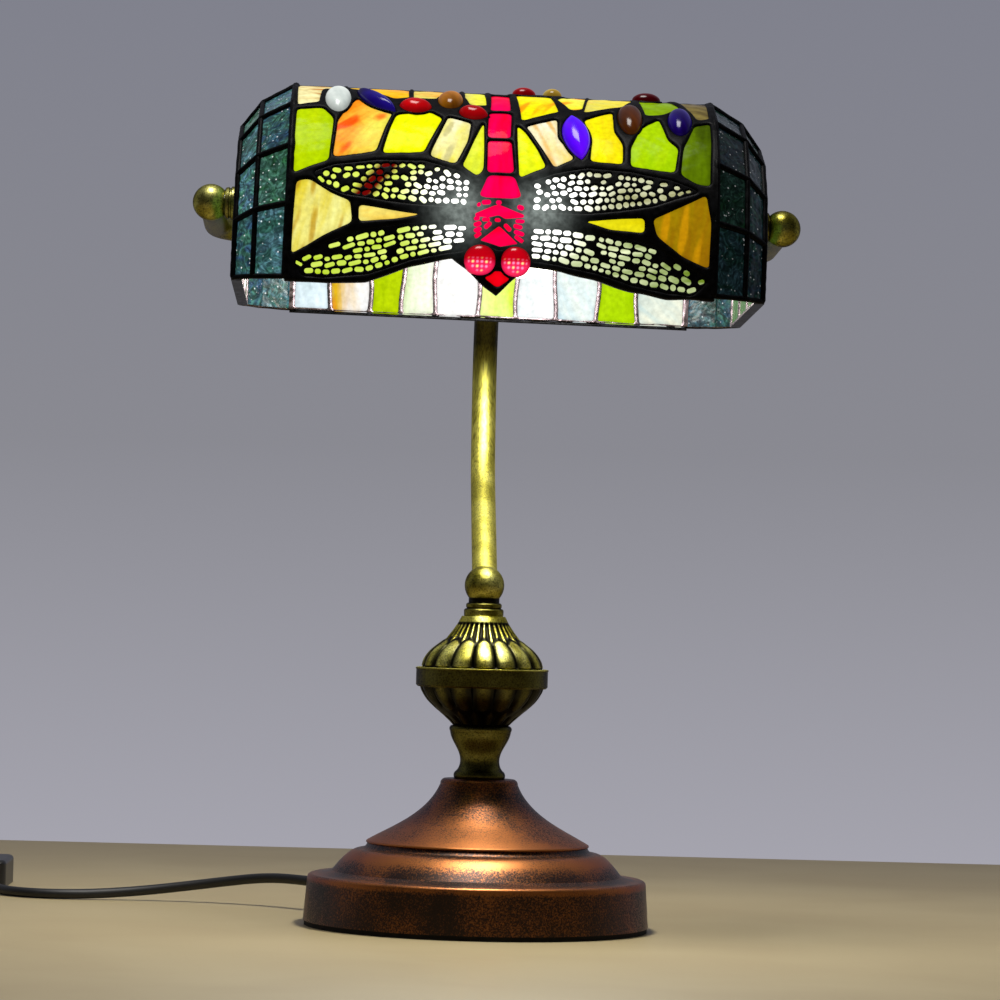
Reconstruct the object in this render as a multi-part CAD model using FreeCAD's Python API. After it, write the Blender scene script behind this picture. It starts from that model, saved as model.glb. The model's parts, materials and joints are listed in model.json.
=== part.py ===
"""Stained glass desk lamp. Millimetres, +Z up, origin at the centre of the foot on the table.

The shade is drawn in its own frame: origin on the pivot axis, X along the axis, Y to the back.
"girth" is the distance along the shade's curved section, from the front rim over the ridge.
"""
import FreeCAD, Part
import math
import os

from FreeCAD import Vector as V

os.makedirs("parts", exist_ok=True)

# ---------------------------------------------------------------- driving dimensions
FOOT_R = 86.0            # base at the table
PAD_H = 2.4              # felt pad
WALL = 1.6               # spun sheet of the base
BASE_TOP_Z = 74.0        # flat on top of the base
ROD_R = 5.0              # threaded lamp pipe, M10
ROD_BORE = 3.6
VASE_TOP_Z = 100.5
BAND_R = 32.9            # widest ring of the urn
BAND_Z = (119.5, 129.2)
URN_TOP_Z = 155.1
BALL_R = 9.9             # ball under the stem
BALL_Z = 170.5
TUBE_R = 6.3             # bent stem
TUBE_WALL = 1.0
STEM_ROUTE = [(0.0, 174.0), (76.0, 231.0), (92.0, 289.0), (58.0, 347.5)]   # (y, z)
STEM_BENDS = (52.0, 46.0)
HUB_Y, HUB_Z = STEM_ROUTE[-1]

PIVOT_Y, PIVOT_Z = -43.0, 351.5   # shade pivot axis
TILT = 1.5               # front of the shade raised, degrees
LEAN = 0.94              # yoke and shade lower on the right, degrees

YOKE_R = 6.0
YOKE_BEND = 22.0
YOKE_ARM_GAP = 5.6       # from the pivot axis to the end of each arm, inside its ball
END_X = 140.2            # centre of the ball at each end of the yoke
END_BALL_R = 9.0
BALL_FACE_X = 133.7
NUT_X = (128.2, 133.5)   # friction nut between ball and shade
NUT_R = 8.2
NIPPLE_R = 5.0
RUN_GAP = 0.06           # radial clearance of what turns on the nipple

SHADE_R = 75.0           # half round of the shade's section
SIDE = 27.0              # straight side below it
DROP = 43.8              # pivot axis above the rim
X_FRONT = 101.0          # end of the curved panel
X_MID = 116.5            # between the two columns of end tiles
X_END = 125.8            # flat end panel
K_MID, K_END = 0.912, 0.79        # size of the section there
GLASS_T = 3.2
LEAD_OUT, LEAD_IN = 0.9, -4.0     # leading, outside and inside of the glass's face
GEM_RISE = 4.6           # cut gems above the glass's face
HALF = SIDE + SHADE_R * math.pi / 2
TILE_ROWS = [0.0, 36.0, 67.0, 98.0, 131.0]
BACK_SEAMS = [-99.5, -81.0, -60.5, -44.0, -27.5, -5.5, 14.0, 33.5, 55.0, 75.0, 99.5]
BACK_ROWS = [0.2, 48.0, 97.0, 143.0]          # heights of the back rows above the back rim
SEAM = 2.4               # lead between two panes
TILE_SEAM = 3.2          # lead between two end tiles

CORD_D = 5.2
EXIT = (-78.0, 78.0, 15.0)        # mouth of the cord's strain relief
GLAND_L = 25.0
LEAD_ROUTE = [EXIT, (-91.5, 91.5, 15.6), (-108, 105, 15.0), (-127, 115, 12.0), (-149, 121.5, 8.4),
              (-172, 124.5, 5.2), (-195, 123, 3.2), (-216, 119.5, 2.7), (-235.5, 125.5, 2.7),
              (-249.5, 142, 2.8), (-258.5, 166, 4.6), (-262, 191, 7.2)]
SWITCH_L, SWITCH_W, SWITCH_H = 58.0, 24.0, 15.0
SWITCH_Y = 190.0
SWITCH_X = -262.0
TAIL_ROUTE = [(-262, 247, 7.2), (-263.5, 262, 4.8), (-272, 276, 3.2), (-288, 284, 2.7), (-304, 286, 2.7),
              (-322, 285, 2.7)]
COIL_C = (-322.0, 244.0)
COIL_IN, COIL_OUT = 21.4, 41.0    # innermost and outermost turn, at the cord's centre
COIL_LAYERS = 2
PLUG_ROUTE = [(-363.0, 244.0, 7.9), (-364.0, 232.0, 7.7), (-365.5, 218.0, 7.2)]
PLUG_L, PLUG_W, PLUG_H = 36.0, 26.0, 14.0
PIN_R, PIN_L, PIN_PITCH = 2.0, 19.0, 18.6

# Front panes: outlines in (x, girth), by kind of glass.
PANES = {
    "glass_green": [
        [(-99.5, 92), (-87, 94), (-82, 86), (-83, 59), (-92, 55), (-99.5, 51)],
        [(74, 98), (78, 81), (83, 75), (81, 61), (60, 63), (60, 74), (65, 88)],
        [(91, 93), (98.5, 96), (98, 54), (91, 55), (84, 60), (85.5, 75)],
        [(67, 117), (77, 124), (80, 112), (76, 103), (68, 101)],
    ],
    "glass_yellow": [
        [(-52, 91), (-36, 95), (-30, 90), (-38, 66), (-58, 64)],
        [(-10, 87), (-10, 57), (-13, 54), (-20, 59), (-15, 74)],
        [(6, 86), (10, 81), (16, 70), (20, 60), (13, 57), (7, 54)],
        [(38, 94), (52, 103), (52, 86), (56, 76), (56, 64), (41, 65), (42, 78)],
        [(-64, 142), (-46, 142), (-46, 119), (-53, 112), (-60, 121)],
        [(-43, 119), (-43, 142), (-24, 142), (-32, 118)],
        [(-18, 142), (-9, 142), (-9, 106), (-18, 107)],
        [(6, 132), (22, 132), (26, 101), (8, 91)],
        [(32, 103), (26, 121), (33, 142), (40, 130), (37, 105)],
        [(43, 142), (60, 142), (56, 111), (38, 101)],
    ],
    "glass_opal": [
        [(-71, 106), (-54, 92), (-61, 65), (-81, 61), (-80, 84)],
        [(-27, 91), (-16, 87), (-18, 74), (-23, 60), (-35, 64)],
        [(10, 86), (25, 94), (25, 79), (33, 66), (24, 60), (19, 70)],
        [(-99.5, 96), (-89, 100), (-88, 142), (-99.5, 142)],
        [(82, 142), (98.5, 142), (98.5, 101), (93, 99), (89, 113)],
    ],
    "glass_amber": [
        [(-98, 47), (-92, 48), (-81, 42), (-72, 38.5), (-71, 28), (-85, 21), (-98.5, 12)],
        [(-68, 36.5), (-39, 33.5), (-50, 31), (-68, 28.5)],
        [(71, 36), (96, 49), (98.5, 36), (98.5, 14), (86, 19), (73, 28.5)],
        [(39, 33.5), (67, 36.5), (67, 29.5), (51, 30)],
    ],
    "glass_red": [
        [(-6, 126), (2, 126), (1, 142), (-5, 142)],
        [(-7, 99), (2.5, 99), (2.5, 124), (-6, 124)],
        [(-8, 77), (3, 77), (3, 97), (-7.5, 97)],
        [(-8, 56), (4.5, 56), (3.5, 75), (-8, 75)],
        [(-11, 43), (8, 43), (5, 54), (-9.5, 54)],
        [(-13, 33), (10, 33), (10, 37), (-1.5, 41), (-13, 37)],
        [(-10, 21), (7, 21), (-1.5, 29.5)],
        [(-13, 31), (-5, 31), (-12, 23)],
        [(2, 31), (10.5, 31), (9, 23)],
        [(-8, 5), (-4, 8.5), (1, 8.5), (5, 5), (-1.5, 0)],
    ],
    "wing_glass": [
        [(-90, 51), (-80, 56), (-61, 59.5), (-38, 60.5), (-20, 55), (-15, 50), (-16, 40), (-38, 38),
         (-57, 39.5), (-75, 42), (-86, 46)],
        [(-96, 6), (-85, 17), (-70, 23), (-50, 27.5), (-29, 30.5), (-17, 30), (-18, 21), (-24, 17),
         (-43, 12), (-63, 4), (-81, 2), (-93, 2)],
        [(92, 50), (79, 56), (61, 59), (40, 60), (24, 55), (13, 52), (13, 36), (39, 37.5), (55, 39.5),
         (71, 43), (86, 48)],
        [(97, 8), (82, 17), (70, 24), (51, 27), (32, 29.5), (13, 29.5), (16, 15), (29, 13), (44, 10),
         (62, 5), (79, 2), (91, 1.5), (97, 3)],
    ],
}
# Cut gems on the front: (x, girth, half length, half width, turn in degrees).
GEMS = {
    "gems_red": [(-43, 99, 7.5, 5.5, 0), (-15, 94.5, 6.4, 4.6, 0), (10, 138, 5.5, 4, 0), (70, 135, 6.5, 4.5, 0)],
    "gems_amber": [(-26, 108, 9, 5.6, 90), (24, 138, 4.6, 4.5, 0), (60, 97, 13, 5.6, 90)],
    "gems_blue": [(-62, 103.5, 14, 4.4, -50), (34, 80.5, 15, 5.6, -80), (84, 96.5, 11.5, 5.4, 90)],
    "gem_white": [(-80, 104.5, 13.5, 5.5, 90)],
    "dragonfly_eyes": [(-10, 13, 6.7, 6.6, 0), (7, 13, 6.7, 6.6, 0)],
}
GEM_LEAD = 1.6           # lead round a gem
FRONT_RIM = [(-101.5, -1), (-81, -1), (-63, 0.5), (-43, 8), (-23, 13.5), (-17, 9), (-9, 2), (-1.5, -3),
             (6, 4), (14, 11), (29, 9.5), (44, 6), (62, 1), (79, -1.5), (101.5, -1.5)]

X_AXIS, Y_AXIS, Z_AXIS = V(1, 0, 0), V(0, 1, 0), V(0, 0, 1)
ORIGIN = V(0, 0, 0)


# ---------------------------------------------------------------- helpers
def save(name, shape):
    """Write one node, made of one solid or several separate ones."""
    solids = shape.Solids
    out = solids[0] if len(solids) == 1 else Part.makeCompound(solids)
    out.exportStep("parts/%s.step" % name)
    print("%-22s solids %2d volume %9.0f valid %s" % (name, len(solids), out.Volume, out.isValid()))


def edges_through(stretches):
    """Edges from a list of stretches: two points make a line, more make a smooth curve."""
    edges = []
    for pts in stretches:
        if len(pts) == 2:
            edges.append(Part.makeLine(*pts))
        else:
            curve = Part.BSplineCurve()
            curve.interpolate(pts)
            edges.append(curve.toShape())
    return edges


def revolve(stretches):
    """Solid of revolution about Z from closed stretches of (r, z) points."""
    wire = Part.Wire(edges_through([[V(r, 0, z) for r, z in s] for s in stretches]))
    return Part.Face(wire).revolve(ORIGIN, Z_AXIS, 360)


def turned(points):
    """Solid of revolution about Z from a closed polygon of (r, z) points."""
    return revolve([[a, b] for a, b in zip(points, points[1:] + points[:1])])


def along_x(shape, side, x=0.0):
    """Lay a shape made about +Z along the pivot axis: Z becomes outward X on that side."""
    shape = shape.copy()
    shape.rotate(ORIGIN, Y_AXIS, 90 * side)
    shape.translate(V(x * side, 0, 0))
    return shape


def rounded_path(points, radii=None, report=None):
    """Wire of straight runs joined by tangent arcs; by default each arc is as large as its runs allow."""
    pts = [V(*p) for p in points]
    edges, start, smallest = [], pts[0], 1e9
    for i in range(1, len(pts) - 1):
        a, b = pts[i] - pts[i - 1], pts[i + 1] - pts[i]
        half = a.getAngle(b) / 2
        radius = radii[i - 1] if radii else 0.45 * min(a.Length, b.Length) / math.tan(half)
        smallest = min(smallest, radius)
        back = radius * math.tan(half)
        ua, ub = V(a).normalize(), V(b).normalize()
        p, q = pts[i] - ua * back, pts[i] + ub * back
        mid = pts[i] + (ub - ua).normalize() * (radius / math.cos(half) - radius)
        edges += [Part.LineSegment(start, p).toShape(), Part.Arc(p, mid, q).toShape()]
        start = q
    edges.append(Part.LineSegment(start, pts[-1]).toShape())
    wire = Part.Wire(edges)
    if report:
        print("%-22s length %.1f smallest radius %.1f" % (report, wire.Length, smallest))
    return wire


def sweep(wire, radius):
    """Round bar along a wire."""
    start = wire.Edges[0]
    direction = start.tangentAt(start.FirstParameter)
    ring = Part.Wire(Part.makeCircle(radius, start.valueAt(start.FirstParameter), direction))
    return Part.Wire(wire).makePipeShell([ring], True, False, 2)


def rounded_box(length, width, height, radius):
    """Box centred on X and Y, on z = 0, with rounded vertical edges and a softened top and bottom."""
    box = Part.makeBox(length, width, height, V(-length / 2, -width / 2, 0))
    upright = [e for e in box.Edges if abs(e.Vertexes[0].Z - e.Vertexes[-1].Z) > 1]
    return box.makeFillet(radius, upright)


# ---------------------------------------------------------------- shade frame
def lean(shape):
    """Turn what hangs on the yoke a little clockwise, as seen from the front, about the hub's height."""
    shape = shape.copy()
    shape.rotate(V(0, 0, PIVOT_Z), Y_AXIS, LEAN)
    return shape


def at_pivot(shape, tilted=True):
    """Place a shape made in the shade's frame."""
    shape = shape.copy()
    if tilted:
        shape.rotate(ORIGIN, X_AXIS, -TILT)
    shape.translate(V(0, PIVOT_Y, PIVOT_Z))
    return lean(shape)


def section_point(girth, offset=0.0, k=1.0):
    """(y, z) on the shade's section, offset outwards and scaled by k about the middle of the rim."""
    front = girth <= HALF
    g = girth if front else 2 * HALF - girth
    r = SHADE_R + offset
    if g <= SIDE:
        y, z = -r, g
    else:
        a = (g - SIDE) / SHADE_R
        y, z = -r * math.cos(a), SIDE + r * math.sin(a)
    return (k * y if front else -k * y), k * z - DROP


def outward(girth):
    """Outward direction of the section at that girth."""
    a = min(max((girth - SIDE) / SHADE_R, 0.0), math.pi)
    return V(0, -math.cos(a), math.sin(a))


def half_shell(inner, outer, side):
    """Curved front (side -1) or back (side 1) wall between two offsets, from rim to ridge."""
    centre = V(-X_FRONT, 0, SIDE - DROP)
    rim = -DROP - 4.0
    ro, ri = SHADE_R + outer, SHADE_R + inner
    c45 = math.cos(math.pi / 4)

    def at(y, z):
        return centre + V(0, y * side, z)

    low = rim - centre.z
    edges = [
        Part.makeLine(at(ro, low), at(ro, 0)),
        Part.Arc(at(ro, 0), at(ro * c45, ro * c45), at(0, ro)).toShape(),
        Part.makeLine(at(0, ro), at(0, ri)),
        Part.Arc(at(0, ri), at(ri * c45, ri * c45), at(ri, 0)).toShape(),
        Part.makeLine(at(ri, 0), at(ri, low)),
        Part.makeLine(at(ri, low), at(ro, low)),
    ]
    return Part.Face(Part.Wire(edges)).extrude(V(2 * X_FRONT, 0, 0))


def pane_prism(outline):
    """Prism through the wall with that outline of (x, girth) on its face."""
    middle = sum(g for _, g in outline) / len(outline)
    n = outward(middle)
    pts = []
    for x, g in outline:
        y, z = section_point(g)
        p = V(x, y, z)
        pts.append(p - n * p.dot(n) + n * (SHADE_R * 0.72 - (SIDE - DROP) * -n.z))
    return Part.Face(Part.makePolygon(pts + pts[:1])).extrude(n * (SHADE_R * 0.5))


def gem_outline(x, girth, long_r, short_r, turn):
    """Twelve-sided oval."""
    t = math.radians(turn)
    out = []
    for i in range(12):
        a = math.pi * i / 6
        u, w = long_r * math.cos(a), short_r * math.sin(a)
        out.append((x + u * math.cos(t) - w * math.sin(t), girth + u * math.sin(t) + w * math.cos(t)))
    return out


def inside(x, g, outline):
    """True when a point lies in a polygon."""
    hit = False
    for (x0, g0), (x1, g1) in zip(outline, outline[1:] + outline[:1]):
        if (g0 > g) != (g1 > g) and x < x0 + (g - g0) * (x1 - x0) / (g1 - g0):
            hit = not hit
    return hit


def front_panel():
    """Panes, gems, wing lace and leading of the front."""
    glass = half_shell(-GLASS_T, 0.0, -1)
    lace_sheet = half_shell(0.0, LEAD_OUT, -1)
    thick = half_shell(-GLASS_T, GEM_RISE, -1)
    windows = []
    rings = Part.makeCompound([pane_prism(gem_outline(x, g, a + GEM_LEAD, b + GEM_LEAD, turn))
                               for gems in GEMS.values() for x, g, a, b, turn in gems])
    for name, outlines in PANES.items():
        prisms = [pane_prism(o).cut(rings) for o in outlines]
        windows += prisms
        save(name, at_pivot(Part.makeCompound([glass.common(p) for p in prisms])))
    for name, gems in GEMS.items():
        prisms = [pane_prism(gem_outline(*g)) for g in gems]
        windows += prisms
        save(name, at_pivot(Part.makeCompound([thick.common(p) for p in prisms])))
    laces = []
    for outline in PANES["wing_glass"]:
        sheet = lace_sheet.common(pane_prism(outline))
        middle = sum(g for _, g in outline) / len(outline)
        holes = []
        for row in range(20):
            for col in range(-17, 18):
                x, g = col * 6.0 + 3.0 * (row % 2), 3.0 + row * 3.4
                near = [(x - 2.4, g), (x + 2.4, g), (x, g - 2.2), (x, g + 2.2)]
                if all(inside(a, b, outline) for a, b in near):
                    y, z = section_point(g)
                    n = outward(middle)
                    holes.append(Part.makeCylinder(1.5, 16, V(x, y, z) - n * 8, n))
        laces.append(sheet.cut(Part.makeCompound(holes)))
    save("wing_lace", at_pivot(Part.makeCompound(laces)))
    below = [V(x, -SHADE_R - 12, g - DROP) for x, g in FRONT_RIM]
    below += [V(X_FRONT + 0.5, -SHADE_R - 12, -DROP - 9), V(-X_FRONT - 0.5, -SHADE_R - 12, -DROP - 9)]
    cut_off = Part.Face(Part.makePolygon(below + below[:1])).extrude(V(0, 30, 0))
    leading = half_shell(LEAD_IN, LEAD_OUT, -1).cut(Part.makeCompound([cut_off] + windows))
    save("front_leading", at_pivot(leading))


def back_panel():
    """Ten vertical strips in three rows, their leading and the wire along the back rim."""
    glass = half_shell(-GLASS_T, 0.0, 1)
    windows = []
    names = ["back_glass_lower", "back_glass_middle", "back_glass_upper"]
    for name, g0, g1 in zip(names, BACK_ROWS, BACK_ROWS[1:]):
        prisms = []
        for x0, x1 in zip(BACK_SEAMS, BACK_SEAMS[1:]):
            a, b = x0 + SEAM / 2, x1 - SEAM / 2
            low, high = 2 * HALF - g0 - SEAM / 2, 2 * HALF - g1 + SEAM / 2
            prisms.append(pane_prism([(a, low), (b, low), (b, high), (a, high)]))
        windows += prisms
        save(name, at_pivot(Part.makeCompound([glass.common(p) for p in prisms])))
    low = Part.makeBox(2 * X_FRONT + 2, 30, 20, V(-X_FRONT - 1, SHADE_R - 20, -DROP - 20 + 0.4))
    leading = half_shell(LEAD_IN, LEAD_OUT, 1).cut(Part.makeCompound([low] + windows))
    save("back_leading", at_pivot(leading))
    wire = Part.makeCylinder(0.8, 2 * X_FRONT, V(-X_FRONT, SHADE_R - 1.6, -DROP - 0.4), X_AXIS)
    save("back_rim_wire", at_pivot(wire))


def end_sections(offset, stations):
    """Solid between scaled sections at several (x, k) stations."""
    girths = TILE_ROWS + [2 * HALF - g for g in reversed(TILE_ROWS)]
    wires = []
    for x, k in stations:
        pts = [V(x, *section_point(g, offset, k)) for g in girths]
        wires.append(Part.makePolygon(pts + pts[:1]))
    return Part.makeLoft(wires, True, True)


def flat_tile(corners, inset, lift, depth):
    """Prism on a flat four-sided tile, its edges moved in, starting lift above its face."""
    centre = sum(corners, V()) * (1 / len(corners))
    n = (corners[1] - corners[0]).cross(corners[-1] - corners[0]).normalize()
    if n.dot(centre - V(0, 0, -10)) < 0:
        n = n * -1
    moved = []
    count = len(corners)
    for i, p in enumerate(corners):
        a = (corners[(i + 1) % count] - p).normalize()
        b = (corners[i - 1] - p).normalize()
        moved.append(p + (a + b) * (inset / a.cross(b).Length) + n * lift)
    return Part.Face(Part.makePolygon(moved + moved[:1])).extrude(n * -depth)


def shade_end(side):
    """Two columns of end tiles, the flat end panel and their leading, on one side."""
    name = "left" if side < 0 else "right"
    stations = [(X_FRONT, 1.0), (X_MID, K_MID), (X_END, K_END)]
    girths = TILE_ROWS + [2 * HALF - g for g in reversed(TILE_ROWS)]
    tiles, windows = [], []
    for (xa, ka), (xb, kb) in zip(stations, stations[1:]):
        for ga, gb in zip(girths, girths[1:]):
            corners = [V(xa, *section_point(ga, 0, ka)), V(xa, *section_point(gb, 0, ka)),
                       V(xb, *section_point(gb, 0, kb)), V(xb, *section_point(ga, 0, kb))]
            tiles.append(flat_tile(corners, TILE_SEAM / 2, 0.0, GLASS_T - 0.6))
            windows.append(flat_tile(corners, TILE_SEAM / 2, 4.0, 12.0))
    outer = end_sections(LEAD_OUT, stations)
    inner = end_sections(LEAD_IN, [(X_FRONT, 1.0), (X_MID - 1.4, K_MID), (X_END - 3.6, K_END * 1.01)])
    bottom = Part.makeBox(60, 200, 20, V(X_FRONT - 10, -100, -DROP - 19.6))
    panel = [V(X_END + 4, *section_point(g, -2.6, K_END)) for g in girths]
    panel[0].z += 3
    panel[-1].z += 3
    panel_prism = Part.Face(Part.makePolygon(panel + panel[:1])).extrude(V(-12, 0, 0))
    pieces = []
    for y0, y1 in ((-80, -21), (-19, 19), (21, 80)):
        pieces.append(panel_prism.common(Part.makeBox(GLASS_T, y1 - y0, 200, V(X_END - GLASS_T, y0, -100))))
    bush_hole = Part.makeCylinder(6.5, 40, V(X_END - 20, 0, 0), X_AXIS)
    pieces[1] = pieces[1].cut(bush_hole)
    opening = Part.makeCompound([panel_prism.common(Part.makeBox(20, y1 - y0, 200, V(X_END - 10, y0, -100)))
                                 for y0, y1 in ((-80, -21), (-19, 19), (21, 80))])
    leading = outer.cut(inner).cut(bottom).cut(Part.makeCompound(windows)).cut(opening)
    if side < 0:
        mirror = FreeCAD.Matrix()
        mirror.A11 = -1
        tiles = [t.mirror(ORIGIN, X_AXIS) for t in tiles]
        pieces = [t.mirror(ORIGIN, X_AXIS) for t in pieces]
        leading = leading.mirror(ORIGIN, X_AXIS)
    save("end_tiles_" + name, at_pivot(Part.makeCompound(tiles)))
    save("end_panel_" + name, at_pivot(Part.makeCompound(pieces)))
    save("end_leading_" + name, at_pivot(leading))
    r = NIPPLE_R + RUN_GAP
    bush = turned([(r, X_END - 4), (6.5, X_END - 4), (6.5, X_END), (12.6, X_END), (12.6, X_END + 0.9),
                   (r, X_END + 0.9)])
    return at_pivot(along_x(bush, side))


# ---------------------------------------------------------------- stand
def base():
    """Felt pad, spun shell, cast weight and the nut that pulls the column down."""
    save("base_pad", Part.makeCylinder(FOOT_R - 0.6, PAD_H))
    shell = revolve([
        [(FOOT_R, PAD_H), (84.4, 23.0)],
        [(84.4, 23.0), (83.9, 24.6), (82.6, 25.3)],
        [(82.6, 25.3), (76.0, 25.9), (72.2, 27.2)],
        [(72.2, 27.2), (69.2, 31.0), (64.8, 35.4), (60.6, 37.9), (58.2, 38.2)],
        [(58.2, 38.2), (56.0, 39.2), (54.9, 41.0)],
        [(54.9, 41.0), (55.6, 41.6), (55.2, 42.4)],
        [(55.2, 42.4), (46.0, 47.4), (35.0, 53.8), (24.0, 63.5), (19.4, 71.2)],
        [(19.4, 71.2), (18.9, 73.0), (17.6, BASE_TOP_Z)],
        [(17.6, BASE_TOP_Z), (ROD_R, BASE_TOP_Z)],
        [(ROD_R, BASE_TOP_Z), (ROD_R, BASE_TOP_Z - WALL)],
        [(ROD_R, BASE_TOP_Z - WALL), (17.0, BASE_TOP_Z - WALL)],
        [(17.0, BASE_TOP_Z - WALL), (22.6, 62.4), (34.0, 52.0), (45.0, 45.6), (52.6, 41.0)],
        [(52.6, 41.0), (55.0, 37.6), (59.6, 36.0)],
        [(59.6, 36.0), (63.6, 33.6), (67.6, 30.0), (70.8, 25.8)],
        [(70.8, 25.8), (82.2, 23.6)],
        [(82.2, 23.6), (FOOT_R - WALL - 0.6, PAD_H)],
        [(FOOT_R - WALL - 0.6, PAD_H), (FOOT_R, PAD_H)],
    ])
    direction = V(EXIT[0], EXIT[1], 0).normalize()
    mouth = V(*EXIT)
    hole = Part.makeCylinder(4.6, 12, direction * (FOOT_R - 6) + V(0, 0, EXIT[2]), direction)
    shell = shell.cut(hole)
    save("base_shell", shell)
    weight = turned([(14, PAD_H), (74, PAD_H), (74, 17), (60, 21), (14, 21)])
    save("base_weight", weight)
    hexagon = Part.Face(Part.makePolygon([V(8.6 * math.cos(i * math.pi / 3), 8.6 * math.sin(i * math.pi / 3), 64)
                                          for i in range(7)])).extrude(V(0, 0, 6.6))
    save("base_nut", hexagon.cut(Part.makeCylinder(ROD_R, 20, V(0, 0, 60))))
    save("base_washer", Part.makeCylinder(11, 1.8, V(0, 0, 70.6)).cut(Part.makeCylinder(ROD_R, 20, V(0, 0, 60))))
    gland = Part.makeCone(5.4, 3.6, GLAND_L - 1.5, ORIGIN, Z_AXIS)
    gland = gland.fuse(Part.makeCylinder(4.6, 8, V(0, 0, -6))).removeSplitter()
    gland = gland.fuse(Part.makeCylinder(6.4, 2.0, V(0, 0, 0.2))).removeSplitter()
    gland = gland.cut(Part.makeCylinder(CORD_D / 2, 60, V(0, 0, -10)))
    gland.rotate(ORIGIN, Z_AXIS.cross(direction), 90)
    gland.translate(mouth - direction * (GLAND_L - 1.5))
    save("cord_gland", gland.cut(shell))


def column():
    """Threaded pipe and what is stacked on it, up to the ball."""
    top = BALL_Z - 6.0
    pipe = Part.makeCylinder(ROD_R, top - 58, V(0, 0, 58)).cut(Part.makeCylinder(ROD_BORE, 200, V(0, 0, 40)))
    save("threaded_pipe", pipe)
    save("neck_vase", revolve([
        [(12.4, BASE_TOP_Z), (12.9, 75.6), (12.3, 77.4)],
        [(12.3, 77.4), (10.6, 79.4), (9.8, 83.5), (10.8, 87.5), (13.2, 92.0), (15.2, 97.5)],
        [(15.2, 97.5), (15.5, 99.4), (14.6, VASE_TOP_Z)],
        [(14.6, VASE_TOP_Z), (ROD_R, VASE_TOP_Z)],
        [(ROD_R, VASE_TOP_Z), (ROD_R, BASE_TOP_Z)],
        [(ROD_R, BASE_TOP_Z), (12.4, BASE_TOP_Z)]]))
    save("urn_lower", revolve([
        [(13.8, VASE_TOP_Z), (16.5, 103.2), (21.8, 108.0), (26.8, 112.8), (29.6, 117.0), (30.6, BAND_Z[0])],
        [(30.6, BAND_Z[0]), (28.6, BAND_Z[0])],
        [(28.6, BAND_Z[0]), (25.0, 113.6), (20.2, 109.4), (14.0, 104.0), (10.0, 102.4)],
        [(10.0, 102.4), (ROD_R, 102.4)],
        [(ROD_R, 102.4), (ROD_R, VASE_TOP_Z)],
        [(ROD_R, VASE_TOP_Z), (13.8, VASE_TOP_Z)]]))
    z0, z1 = BAND_Z
    save("urn_band", turned([(27.0, z0), (BAND_R - 0.9, z0), (BAND_R, z0 + 0.9), (BAND_R, z1 - 1.2),
                             (BAND_R + 0.3, z1 - 0.9), (BAND_R + 0.3, z1 - 0.3), (BAND_R - 0.4, z1), (27.0, z1)]))
    save("urn_upper", revolve([
        [(29.8, z1), (28.4, 133.6), (24.9, 138.2), (18.8, 143.2), (14.2, 148.8), (10.6, URN_TOP_Z)],
        [(10.6, URN_TOP_Z), (ROD_R, URN_TOP_Z)],
        [(ROD_R, URN_TOP_Z), (ROD_R, URN_TOP_Z - 1.8)],
        [(ROD_R, URN_TOP_Z - 1.8), (9.0, URN_TOP_Z - 1.8)],
        [(9.0, URN_TOP_Z - 1.8), (12.6, 147.2), (17.2, 141.2), (23.4, 136.8), (27.2, 132.6), (28.4, z1)],
        [(28.4, z1), (29.8, z1)]]))
    save("stem_collar", turned([
        (ROD_R, URN_TOP_Z), (9.6, URN_TOP_Z), (9.9, 155.7), (9.9, 158.1), (9.4, 158.7), (8.5, 159.0),
        (8.9, 159.7), (8.9, 161.0), (8.3, 161.6), (7.7, 161.8), (7.7, BALL_Z - 6.2), (ROD_R, BALL_Z - 6.2)]))
    ball = Part.makeSphere(BALL_R, V(0, 0, BALL_Z))
    ball = ball.cut(Part.makeBox(40, 40, 20, V(-20, -20, BALL_Z - 26.2)))
    ball = ball.cut(Part.makeCylinder(ROD_R, 20, V(0, 0, top - 20)))
    return ball


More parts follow.
